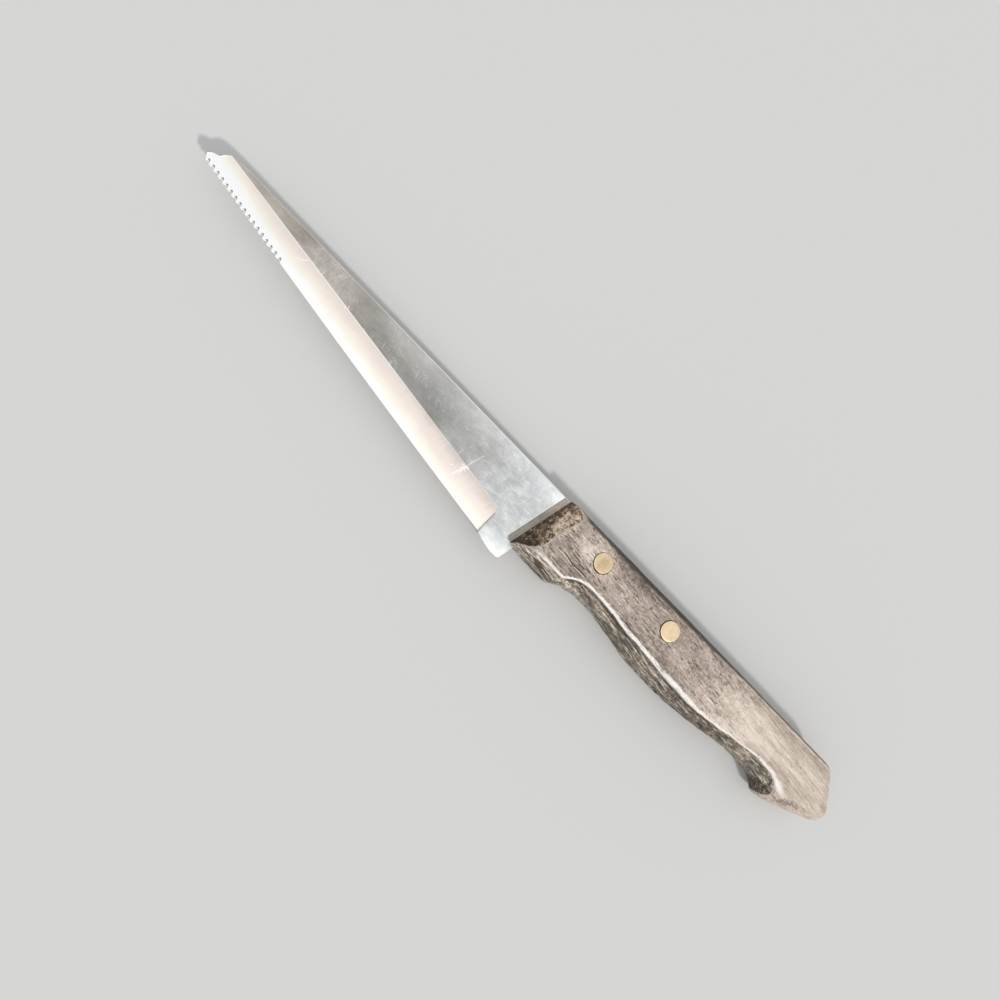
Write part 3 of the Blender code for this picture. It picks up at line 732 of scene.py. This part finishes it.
def fibres(x, y, z):
    """Relief of the weathered surface in millimetres: waves, fibre ridges and short pits."""
    lean_y = y + 0.09 * x
    wave = noise.noise(Vector((x / 17.0, y / 4.0, z / 4.0 + 7.0))) * 0.10
    strands = noise.noise(Vector((x / 9.0, lean_y / 0.75, z / 0.9))) * 0.075
    fine = noise.noise(Vector((x / 3.5, lean_y / 0.42, z / 0.5 + 3.0))) * 0.045
    pits = noise.noise(Vector((x / 2.6, lean_y / 0.55, z / 0.55 + 11.0)))
    return wave + strands + fine - 0.20 * max(pits - 0.30, 0.0)


def weather(point):
    """How far the wear has moved a point of the handle along its normal."""
    x, y, z = (point - START) / mm
    behind = behind_front(x, y)
    ridge = smooth_path(RIDGE_PATH, x * mm) / mm
    below = held(ridge - y)
    relief = fibres(x, y, z) * (1.0 + 0.9 * below)
    end_share = held((4.6 - behind) / 1.5)
    relief += end_share * noise.noise(Vector((x, y, z)) / 0.55) * 0.13
    relief += end_share * noise.noise(Vector((x, y, z)) / 1.3) * 0.14
    gouge = ((x - 12.7) / 2.4) ** 2 + ((ridge - y - 0.6) / 0.4) ** 2
    if z > 0 and gouge < 1:
        relief -= 0.32 * (1 - gouge)
    throat = held((x - 82.0) / 4.0) * held((90.8 - x) / 1.2) * below
    relief += throat * (noise.noise(Vector((x, y, z)) / 0.7) * 0.26 - 0.12)
    grooves = noise.noise(Vector((x / 11.0, y / 0.9, z / 0.7 + 19.0)))
    if x < 20:
        relief -= 0.55 * max(grooves - 0.15, 0.0) * below * min((20 - x) / 4, 1.0)
    settled = held((behind - 0.15) / 0.9) * held((108.3 - x) / 0.8)
    return (relief - 0.05) * settled * mm


normals = [vert.normal.copy() for vert in handle.data.vertices]
for vert, normal in zip(handle.data.vertices, normals):
    vert.co += normal * weather(vert.co)

slot_shape = bmesh.new()
slot_place = Matrix.Translation(START + Vector(((SLOT_START + SLOT_END) / 2, SLOT_MIDDLE_Y, 0.0)))
slot_size = Matrix.Diagonal((SLOT_END - SLOT_START, SLOT_WIDTH, 2 * SLOT_HALF, 1.0))
bmesh.ops.create_cube(slot_shape, size=1.0, matrix=slot_place @ slot_size)
cutters = [new_object("slot_cutter", slot_shape)]
holes = [(centre[0] + shift[0], centre[1] + shift[1]) for centre, shift in zip(RIVET_PLACES, HOLE_SHIFTS)]
for centre, hole, head_radius in zip(RIVET_PLACES, holes, HEAD_RADII):
    for low, high in ((HEAD_SEAT, HEAD_REACH), (-HEAD_REACH, -HEAD_SEAT)):
        cutters.append(round_cutter(hole, head_radius + HEAD_CLEARANCE, low, high, 90))
    cutters.append(round_cutter(centre, SHANK_HOLE, -HOLE_REACH, HOLE_REACH))
cut_away(handle, cutters)

# The cuts leave some slivers folded flat, two faces on the same corners, and both of them go
cut_shape = bmesh.new()
cut_shape.from_mesh(handle.data)
bmesh.ops.triangulate(cut_shape, faces=[face for face in cut_shape.faces if len(face.verts) > 4])
by_corners = {}
for face in cut_shape.faces:
    by_corners.setdefault(frozenset(face.verts), []).append(face)
flaps = [face for pair in by_corners.values() if len(pair) > 1 for face in pair]
bmesh.ops.delete(cut_shape, geom=flaps, context="FACES")
cut_shape.to_mesh(handle.data)
cut_shape.free()
handle.data.shade_smooth()
handle.data.set_sharp_from_angle(angle=radians(55))


def wood_marks(point):
    """How far a point is before the end grain's end, below the ridge and up the spine wall, in mm."""
    x, y, z = point - START
    down = (smooth_path(RIDGE_PATH, x) - y) / mm + (1 - min(abs(z) / HANDLE_HALF, 1.0)) * 2.0
    return (front_slope(y) - behind_front(x, y)) / mm, down, (y - handle_outline(x)[1]) / mm + 2.4


mark_points(handle, ("front", "ridge", "spine"), [wood_marks(vert.co) for vert in handle.data.vertices])

wood, wood_shader, place = surface("handle_wood_weathered", metallic=0.0, roughness=0.75)
x, y, z = parts_of(place)
front = read_mark(place, "front")
ridge = read_mark(place, "ridge")
spine = read_mark(place, "spine")

# Fibres run lengthwise, leaning a little towards the belly, and wander
wander = mottle(place, 0.05, 2.0, 0.5) * 1.4
grain = joined(x, y + x * 0.10 + wander, z)
patch = mottle(grain, 0.20, 4.0, 0.62, (0.5, 1.3, 1.0))
bands = mottle(grain, 1.0, 3.0, 0.6, (0.06, 0.8, 0.8))
strands = mottle(grain, 1.0, 3.0, 0.62, (0.30, 2.3, 2.3))
hairs = mottle(grain, 1.0, 2.0, 0.6, (0.55, 4.2, 4.2), (5.0, 0.0, 0.0))
speck = mottle(place, 1.15, 5.0, 0.90, (0.85, 1.1, 1.1))
thin = mottle(grain, 1.0, 1.0, 0.5, (0.16, 1.5, 1.5), (0.0, 17.0, 3.0)).away()
here = mottle(grain, 0.24, 2.0, 0.5, (0.6, 1.4, 1.4), (14.0, 2.0, 6.0))
streaks = mottle(grain, 1.0, 3.0, 0.62, (0.09, 2.4, 2.4), (9.0, 3.0, 1.0))
fleck, pick = flecks(grain, 2.6, 0.34)
tick, tick_pick = flecks(grain, 1.3, 0.30, (4.0, 9.0, 2.0))
smooth_end = x.step(58.0, 78.0)

# The upper side's tone from the front to the butt, darker towards the spine and the belly
level = x.curve(
    (-4, 0.49), (6, 0.48), (14, 0.56), (22, 0.64), (30, 0.57), (38, 0.57), (45, 0.53),
    (55, 0.64), (65, 0.76), (75, 1.03), (85, 0.77), (95, 0.92), (103, 0.78), (109, 0.76))
to_spine = y.step(-6.5, -1.5) * x.curve(
    (10, 0.0), (17, 0.14), (21, 0.36), (34, 0.26), (44, 0.18), (58, 0.10), (66, 0.12),
    (75, 0.50), (86, 0.18), (95, 0.24), (109, 0.14))
to_belly = y.step(-9.0, -12.5) * x.curve(
    (6, 0.0), (11, 0.14), (22, 0.18), (30, 0.16), (45, 0.16), (56, 0.0), (66, 0.0),
    (76, 0.08), (90, 0.15), (96, 0.27), (103, 0.02), (109, 0.0))
halo = distance((x - 12.5) * 0.75, y + 5.4).step(5.8, 2.0) * 0.34
lively = here.step(-0.10, 0.14) * 0.6 + 0.5
line_marks = hairs.step(0.13, 0.24) * 0.24 - hairs.step(-0.13, -0.24) * 0.26
rough = (strands + hairs * 0.25 + line_marks) * lively + speck * 2.0
top_tone = level - to_spine - to_belly + halo + patch * 0.75 + bands * 0.35
top_tone = top_tone + rough * (1 - smooth_end * 0.6) + streaks * (0.30 + smooth_end * 0.45)
top_colour = top_tone.colours(
    (0, (0.085, 0.062, 0.048)), (0.25, (0.215, 0.170, 0.140)), (0.5, (0.405, 0.325, 0.270)),
    (0.75, (0.60, 0.495, 0.415)), (1, (0.84, 0.73, 0.63)))

# Below the ridge the wood is darker, with a crevice, lines along the guard and painted shade in the
# hook's throat
low_level = x.curve(
    (-4, 0.60), (2, 0.57), (8, 0.40), (14, 0.62), (20, 0.66), (26, 0.50), (32, 0.40),
    (45, 0.58), (55, 0.42), (68, 0.38), (78, 0.60), (86, 0.45), (90, 0.60), (109, 0.5))
crevice = (ridge - 1.0 + strands * 1.5).away().step(0.65, 0.15)
crevice = crevice * x.step(13.0, 18.0) * x.step(70.0, 60.0) * 0.14
guard_lines = mottle(joined(x * 0.08, 0.0, z * 1.7), 1.0, 3.0, 0.65) * x.step(14.0, 8.0) * 2.2
# Painted shade in the throat of the hook
throat = x.step(85.5, 88.5) * y.step(-15.2, -16.8) * 0.27
low_tone = low_level + patch * 0.7 + bands * 0.6 + strands * 1.6 + line_marks * 1.5 + speck * 1.35
low_tone = low_tone + streaks * 0.7 + guard_lines - crevice - throat
low_colour = low_tone.colours(
    (0, (0.024, 0.018, 0.013)), (0.3, (0.085, 0.066, 0.048)), (0.5, (0.200, 0.166, 0.128)),
    (0.7, (0.41, 0.350, 0.282)), (1, (0.86, 0.76, 0.64)))

# The end grain of the sloping front is brown and spotted, and reaches this far back
end_reach = y.curve(
    (-19.5, 0.0), (-18.9, 1.0), (-17.3, 2.5), (-16.4, 4.3), (-15.3, 5.8), (-13.5, 6.85), (-11, 7.55),
    (-6.3, 8.85), (-2.9, 10.0), (-1, 10.45), (1, 11.0)) - 6.0
end_spots = mottle(place, 0.80, 4.0, 0.72, (1.0, 1.0, 1.0), (4.0, 4.0, 9.0))
end_worms = mottle(place, 0.75, 2.0, 0.55, (1.0, 1.0, 1.0), (24.0, 4.0, 9.0)).away().step(0.050, 0.012)
end_level = y.curve((-18, 0.20), (-14, 0.28), (-11.5, 0.48), (-8, 0.74), (-3, 0.82), (0, 0.70))
behind = behind_front(x, y)
# Painted shade where the end grain meets the blade: darker close to the blade
end_level = end_level - behind.step(2.2, 0.3) * y.curve(
    (-18, 0.0), (-12, 0.10), (-8, 0.42), (0, 0.36))
end_level = end_level + behind.step(1.4, 3.4) * y.curve((-18, 0.0), (-12, 0.0), (-8, 0.14), (0, 0.12))
end_level = end_level - (end_reach - x).step(1.5, 0.4) * y.step(-10.5, -7.0) * 0.24
end_tone = end_level + end_spots * 2.1 + mottle(place, 0.35, 3.0, 0.6) * 1.3 - end_worms * 0.36
end_colour = end_tone.colours(
    (0, (0.040, 0.025, 0.015)), (0.25, (0.110, 0.070, 0.043)), (0.5, (0.335, 0.237, 0.160)),
    (0.75, (0.64, 0.475, 0.345)), (1, (0.92, 0.74, 0.57)))

# The colours are laid over one another: the sides first, then stains, painted shade on the spine wall,
# cracks and pale fibres, all with ragged edges
ragged = strands * 1.4 + hairs * 0.8 + speck * 1.4
recess_end = y.curve(
    (-19.5, 89.0), (-18.8, 89.8), (-18.35, 90.9), (-17.2, 91.8), (-15.4, 91.1), (-13.7, 89.6),
    (-12.5, 88.0))
below = (ridge + ragged * 0.5).step(0.10, 0.50) * (recess_end - x + speck * 0.5).step(-0.12, 0.12)
colour = below.tint(top_colour, low_colour)
smudge = distance((x - 96.5) * 0.36, y + 15.70 - (x - 96.5) * 0.45) + ragged * 2.6
colour = (smudge.step(1.45, 0.65) * 0.82).tint(colour, (0.22, 0.165, 0.145))
knuckle = distance((x - 91.6) * 0.7, y + 14.2 + (x - 91.6) * 0.25) + ragged * 0.9
knuckle = knuckle.step(1.75, 0.7) * (1 - below) * 0.75
colour = knuckle.tint(colour, (0.93, 0.85, 0.77))
# Painted shade on the spine wall, darkest along its edge
dark_from = x.curve(
    (-3, 0.9), (8, 0.60), (20, 0.45), (50, 0.50), (62, 0.85), (74, 1.15), (109, 1.25))
spine_wall_shade = (spine + ragged * 0.7 - dark_from).step(-0.25, 0.35)
spine_shade_colour = x.colours(
    (-3, (0.13, 0.100, 0.078)), (24, (0.040, 0.028, 0.019)), (50, (0.060, 0.042, 0.030)),
    (64, (0.12, 0.085, 0.066)), (109, (0.26, 0.175, 0.132)))
colour = (spine_wall_shade * 0.95).tint(colour, (1 + rough * 2.0).shade(spine_shade_colour))
rim_line = (spine - 0.82 + strands).away().step(0.26, 0.06) * x.step(60.0, 74.0) * 0.75
colour = rim_line.tint(colour, (0.84, 0.73, 0.64))
cracks = thin.step(0.026, 0.008) * here.step(0.03, 0.12) * (1 - smooth_end * 0.7)
cracks = cracks.most(fleck * pick.step(0.22, 0.17) * (1 - smooth_end * 0.9))
cracks = cracks.most(tick * tick_pick.step(0.18, 0.12) * (1 - smooth_end * 0.9) * 0.9)
for start, end, width in (
        ((5.90, -11.02), (7.55, -11.24), 0.18), ((7.55, -11.24), (9.88, -11.77), 0.2),
        ((9.88, -11.77), (12.20, -11.58), 0.22), ((12.20, -11.58), (14.56, -11.67), 0.18),
        ((8.13, -9.74), (10.70, -10.05), 0.16), ((10.73, -10.55), (13.04, -10.58), 0.2),
        ((13.31, -9.91), (16.24, -10.11), 0.16), ((2.75, -5.61), (4.75, -5.80), 0.13),
        ((2.30, -12.76), (4.62, -13.07), 0.12), ((26.80, -6.41), (29.34, -6.61), 0.13),
        ((31.07, -10.08), (32.00, -10.07), 0.16), ((33.76, -9.94), (36.58, -9.92), 0.13)):
    cracks = cracks.most(stroke(x, y, start, end, width))
colour = cracks.clamp().least(0.72).tint(colour, (0.075, 0.056, 0.045))
pale_fibres = fleck * pick.step(0.66, 0.74) * (1 - smooth_end * 0.7) * (here + 0.5).step(0.42, 0.56)
pale_fibres = pale_fibres.most(tick * tick_pick.step(0.78, 0.86) * (1 - smooth_end * 0.8) * 0.8)
for start, end, width in (
        ((5.45, -11.44), (7.37, -11.62), 0.17), ((7.37, -11.62), (9.57, -12.00), 0.16),
        ((10.29, -11.95), (12.18, -11.91), 0.17), ((12.18, -11.91), (14.38, -11.95), 0.15),
        ((5.85, -10.65), (7.18, -10.85), 0.13), ((9.19, -11.06), (10.60, -10.88), 0.13),
        ((24.84, -6.33), (26.25, -6.29), 0.18), ((27.07, -6.33), (30.41, -6.26), 0.16),
        ((27.40, -9.55), (29.35, -9.76), 0.16), ((26.18, -12.14), (28.73, -12.00), 0.15),
        ((30.09, -11.60), (31.66, -11.65), 0.14), ((32.58, -12.11), (35.10, -11.92), 0.17),
        ((32.85, -10.46), (36.76, -10.59), 0.15), ((33.46, -10.11), (35.27, -10.15), 0.18),
        ((38.05, -12.16), (40.53, -12.03), 0.16), ((26.46, -5.35), (27.73, -5.44), 0.13),
        ((36.11, -9.81), (39.54, -9.55), 0.13), ((25.57, -16.12), (27.35, -16.28), 0.17),
        ((25.12, -16.74), (26.39, -16.74), 0.14), ((32.04, -17.31), (33.79, -17.42), 0.16),
        ((34.46, -16.61), (35.99, -16.60), 0.17), ((21.14, -13.89), (22.07, -13.78), 0.2),
        ((31.72, -14.15), (33.16, -14.43), 0.13), ((5.09, -17.73), (8.11, -18.06), 0.13),
        ((5.59, -17.22), (9.28, -17.76), 0.13)):
    pale_fibres = pale_fibres.most(stroke(x, y, start, end, width))
pale_strength = (0.74 - below * 0.22) * (1 - spine_wall_shade * 0.75)
colour = (pale_fibres * pale_strength).clamp().tint(colour, (0.90, 0.81, 0.72))
slot_rim = (z.away() + ragged * 0.4).step(1.9, 1.3) * (x + ragged * 2.0).step(8.0, 9.8)
slot_rim = slot_rim * x.step(15.5, 13.0) * below * 0.75
colour = slot_rim.tint(colour, (0.80, 0.71, 0.58))

# Handling has rubbed the ridge pale, most of all where the palm lies, and a painted highlight along it
# adds to the paleness
ridge_pale_width = x.curve(
    (-4, 0.30), (2, 0.42), (10, 0.44), (20, 0.44), (30, 0.54), (45, 0.60), (50, 0.80),
    (58, 0.70), (66, 0.40), (76, 0.34), (84, 0.40), (88, 0.55), (91.5, 0.65), (94.5, 0.55),
    (109, 0.4))
ridge_pale_strength = x.curve(
    (-4, 0.0), (0.5, 0.45), (3, 0.8), (9, 1.0), (69, 1.0), (72, 0.42), (76, 0.60),
    (80, 1.0), (92.5, 1.0), (95.5, 0.15), (109, 0.1))
from_ridge = (ridge - 0.05 + ragged * 0.62).away() / ridge_pale_width
worn = (1.02 + strands * 2.6 + line_marks * 1.8 + speck * 2.6).clamp()
ridge_wear_and_highlight = from_ridge.step(1.35, 0.35) * ridge_pale_strength * (1 - front.step(-0.4, 0.4)) * worn
# Real wear and a painted highlight together make the ridge pale
colour = ridge_wear_and_highlight.tint(colour, (1.0, 0.945, 0.885))
# Painted shade in a dark line just below the pale ridge
under_ridge = (ridge - ridge_pale_width - 0.36 + ragged * 0.45).away().step(0.46, 0.10)
under_ridge = under_ridge * x.curve(
    (10.8, 0.0), (12, 1.0), (15.5, 0.9), (17.5, 0.5), (30, 0.5), (40, 0.35), (60, 0.45),
    (68, 0.2), (73, 0.0))
colour = (under_ridge * 0.88).tint(colour, (0.040, 0.030, 0.023))
# A dark ring round each rivet head: painted shade in the gap between head and wood
for hole, head_radius in zip(holes, HEAD_RADII):
    from_hole = distance(x - hole[0] / mm, y - hole[1] / mm)
    hole_line = (from_hole + speck * 0.2).step(head_radius / mm + 0.26, head_radius / mm + 0.10) * 0.85
    colour = hole_line.tint(colour, (0.10, 0.070, 0.045))
end_cut = (end_reach - x + ragged * 1.2).step(-0.12, 0.12)
colour = end_cut.tint(colour, end_colour)
rim_pale = (end_reach - x + 0.35 + ragged * 1.4).away().step(0.55, 0.10)
rim_pale = rim_pale * y.curve(
    (-19, 0.6), (-16.6, 0.6), (-15.6, 0.2), (-13, 0.2), (-11, 0.32), (0, 0.22))
colour = rim_pale.tint(colour, (0.88, 0.76, 0.64))
roughness = 0.74 + strands * 0.2 - ridge_wear_and_highlight * 0.20 + end_cut * 0.1
height = (strands + hairs * 0.9 + speck * 0.8 - cracks * 1.2 + pale_fibres * 0.6
          + end_cut * (end_spots * 2.2 - end_worms * 0.8))
wire_up(wood_shader, colour, roughness, height, 0.2 * mm)
handle.data.materials.append(wood)
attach(handle, "root")
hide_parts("handle")

# Rivets: two brass compression rivets. Each is a bored half let in from the upper side and a solid
# half from the lower side, pressed together through the tang, with both heads ground flush.
HEAD_HEIGHT = 1.3 * mm
HEAD_RIM = 0.12 * mm
BORE_RADIUS = 1.5 * mm
PIN_RADIUS = 1.2 * mm
HEAD_TOP = 5.93 * mm
TUBE_END = -4.3 * mm
BORE_END = 4.5 * mm
PIN_END = 3.5 * mm
TUBE_TONES = [(0.60, -0.16), (0.72, 0.04)]
PIN_TONE = (0.6, 0.0)


def turned(profile, centre):
    """A round shape: a profile of radii and heights spun about an upright axis."""
    shape = bmesh.new()
    x, y = centre[0] + START.x, centre[1] + START.y
    verts = [shape.verts.new((x + radius, y, START.z + height)) for radius, height in profile]
    edges = [shape.edges.new(pair) for pair in zip(verts, verts[1:])]
    bmesh.ops.spin(shape, geom=verts + edges, cent=(x, y, 0.0), axis=(0.0, 0.0, 1.0), angle=2 * pi,
                   steps=72, use_merge=True)
    bmesh.ops.remove_doubles(shape, verts=shape.verts, dist=1e-7)
    return shape


def half_rivet(name, centre, side, head_radius, shank):
    """One half: a worn head, almost flat and rounded over at the rim, and its shank's profile."""
    curve = [(0.0, HEAD_TOP - 0.02 * mm), (0.9 * mm, HEAD_TOP - 0.015 * mm), (1.9 * mm, HEAD_TOP)]
    rim_x, rim_z = head_radius - HEAD_RIM, HEAD_TOP - HEAD_RIM
    for turn in (pi / 2 * i / 6 for i in range(7)):
        curve.append((rim_x + HEAD_RIM * sin(turn), rim_z + HEAD_RIM * cos(turn)))
    curve += [(head_radius, HEAD_TOP - HEAD_HEIGHT), (shank[0][0], HEAD_TOP - HEAD_HEIGHT)]
    profile = [(out, side * height) for out, height in curve] + shank
    return new_piece(name, turned(profile, centre), 40)


def brass_finish(name, centre, level, middle):
    """Old brass, rubbed in all directions, with its middle duller or brighter than its rim and a painted
    highlight on the rim's edge.
    """
    made, shader, place = surface(name, metallic=1.0, roughness=0.40)
    x, y, z = parts_of(place)
    lines = place.node("ShaderNodeMapping", {}, {"Vector": place, "Rotation": (0.0, 0.0, radians(24.0))})
    lines = mottle(lines, 1.0, 3.0, 0.6, (0.5, 7.0, 1.0))
    smears = mottle(place, 0.9, 4.0, 0.6)
    pits = mottle(place, 2.6, 3.0, 0.6)
    out = distance(x - centre[0] / mm, y - centre[1] / mm)
    # The outer edge of the rim is lightened as a painted highlight
    tone = level + out.step(2.3, 0.6) * middle + out.step(2.25, 2.6) * 0.10
    tone = tone + smears * 0.5 + lines * 0.2 + pits * 0.3
    colour = tone.colours(
        (0, (0.34, 0.250, 0.140)), (0.3, (0.53, 0.400, 0.240)), (0.6, (0.72, 0.560, 0.355)),
        (1, (0.90, 0.740, 0.510)))
    wire_up(shader, colour, 0.40 + smears * 0.16 + pits * 0.1, lines * 0.5 + pits * 0.3, 0.03 * mm)
    return made


tube_shank = [(SHANK_RADIUS, TUBE_END), (BORE_RADIUS, TUBE_END), (BORE_RADIUS, BORE_END), (0.0, BORE_END)]
pin_shank = [(PIN_RADIUS, PIN_END), (0.0, PIN_END)]
for number, (centre, head_radius, tone) in enumerate(zip(RIVET_PLACES, HEAD_RADII, TUBE_TONES), 1):
    tube = half_rivet("rivet_%d_tube_worn" % number, centre, 1, head_radius, tube_shank)
    tube.data.materials.append(brass_finish("rivet_tube_brass_%d" % number, centre, *tone))
    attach(tube, "root")
    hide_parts("rivet_%d_tube" % number)
    pin = half_rivet("rivet_%d_pin_worn" % number, centre, -1, head_radius, pin_shank)
    pin.data.materials.append(brass_finish("rivet_pin_brass_%d" % number, centre, *PIN_TONE))
    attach(pin, "root")
    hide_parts("rivet_%d_pin" % number)

# Table, light and camera, in metres: a plain pale table top, a key light from the butt's side that
# throws the handle's shadow on the blade, and even light all round. The camera looks down, 16
# degrees off upright.
TABLE_SIZE = 3.0
TABLE_DROP = 0.0001
SUN_FROM = Vector((0.615, -0.311, 0.724))
PANEL_PLACE = Vector((0.10, -0.35, 1.2))
CAMERA_PLACE = Vector((-61.644, -59.417, 235.829)) * mm + START
CAMERA_RIGHT = Vector((0.688394, 0.670923, 0.275637))
CAMERA_UP = Vector((-0.697961, 0.716136, 0.0))

table_shape = bmesh.new()
bmesh.ops.create_grid(table_shape, x_segments=1, y_segments=1, size=TABLE_SIZE,
                      matrix=Matrix.Translation((0.0, 0.0, -TABLE_DROP)))
floor = new_object("table_top", table_shape)
pale, pale_shader = surface("table_top_paint", metallic=0.0, roughness=0.85)[:2]
pale_shader.inputs["Base Color"].default_value = (0.64, 0.64, 0.63, 1.0)
pale_shader.inputs["Specular IOR Level"].default_value = 0.2
floor.data.materials.append(pale)


def new_light(name, kind, energy, shines_from):
    """A light that shines from this direction, and its settings."""
    settings = bpy.data.lights.new(name, kind)
    settings.energy = energy
    lamp = shown(name, settings)
    lamp.rotation_mode = "QUATERNION"
    lamp.rotation_quaternion = shines_from.to_track_quat("Z", "Y")
    return lamp, settings


key_settings = new_light("key", "SUN", 1.45, SUN_FROM)[1]
key_settings.angle = radians(5.0)
key_settings.color = (1.0, 0.975, 0.94)
panel, panel_settings = new_light("overhead_panel", "AREA", 0.6, PANEL_PLACE)
panel_settings.shape = "RECTANGLE"
panel_settings.size = 0.9
panel_settings.size_y = 0.7
panel.location = PANEL_PLACE

world = bpy.data.worlds.new("studio")
bpy.context.scene.world = world
world.use_nodes = True
air = Flow(world.node_tree, None)
background = world.node_tree.nodes["Background"]
seen = air.node("ShaderNodeLightPath", {}, {}, "Is Camera Ray")
mirrored = air.node("ShaderNodeLightPath", {}, {}, "Is Glossy Ray")
strength = 0.70 + seen * 0.30 + mirrored * 0.16
world.node_tree.links.new(strength.socket, background.inputs["Strength"])
background.inputs["Color"].default_value = (0.97, 0.985, 1.0, 1.0)

camera_settings = bpy.data.cameras.new("camera")
camera_settings.sensor_width = 36.0
camera_settings.lens = 36.0
camera_settings.clip_start = 0.01
camera_settings.clip_end = 20.0
camera = shown("camera", camera_settings)
camera_turn = Matrix((CAMERA_RIGHT, CAMERA_UP, CAMERA_RIGHT.cross(CAMERA_UP))).transposed()
camera.matrix_world = Matrix.Translation(CAMERA_PLACE) @ camera_turn.to_4x4()
bpy.context.scene.camera = camera
bpy.context.scene.view_settings.view_transform = "Standard"
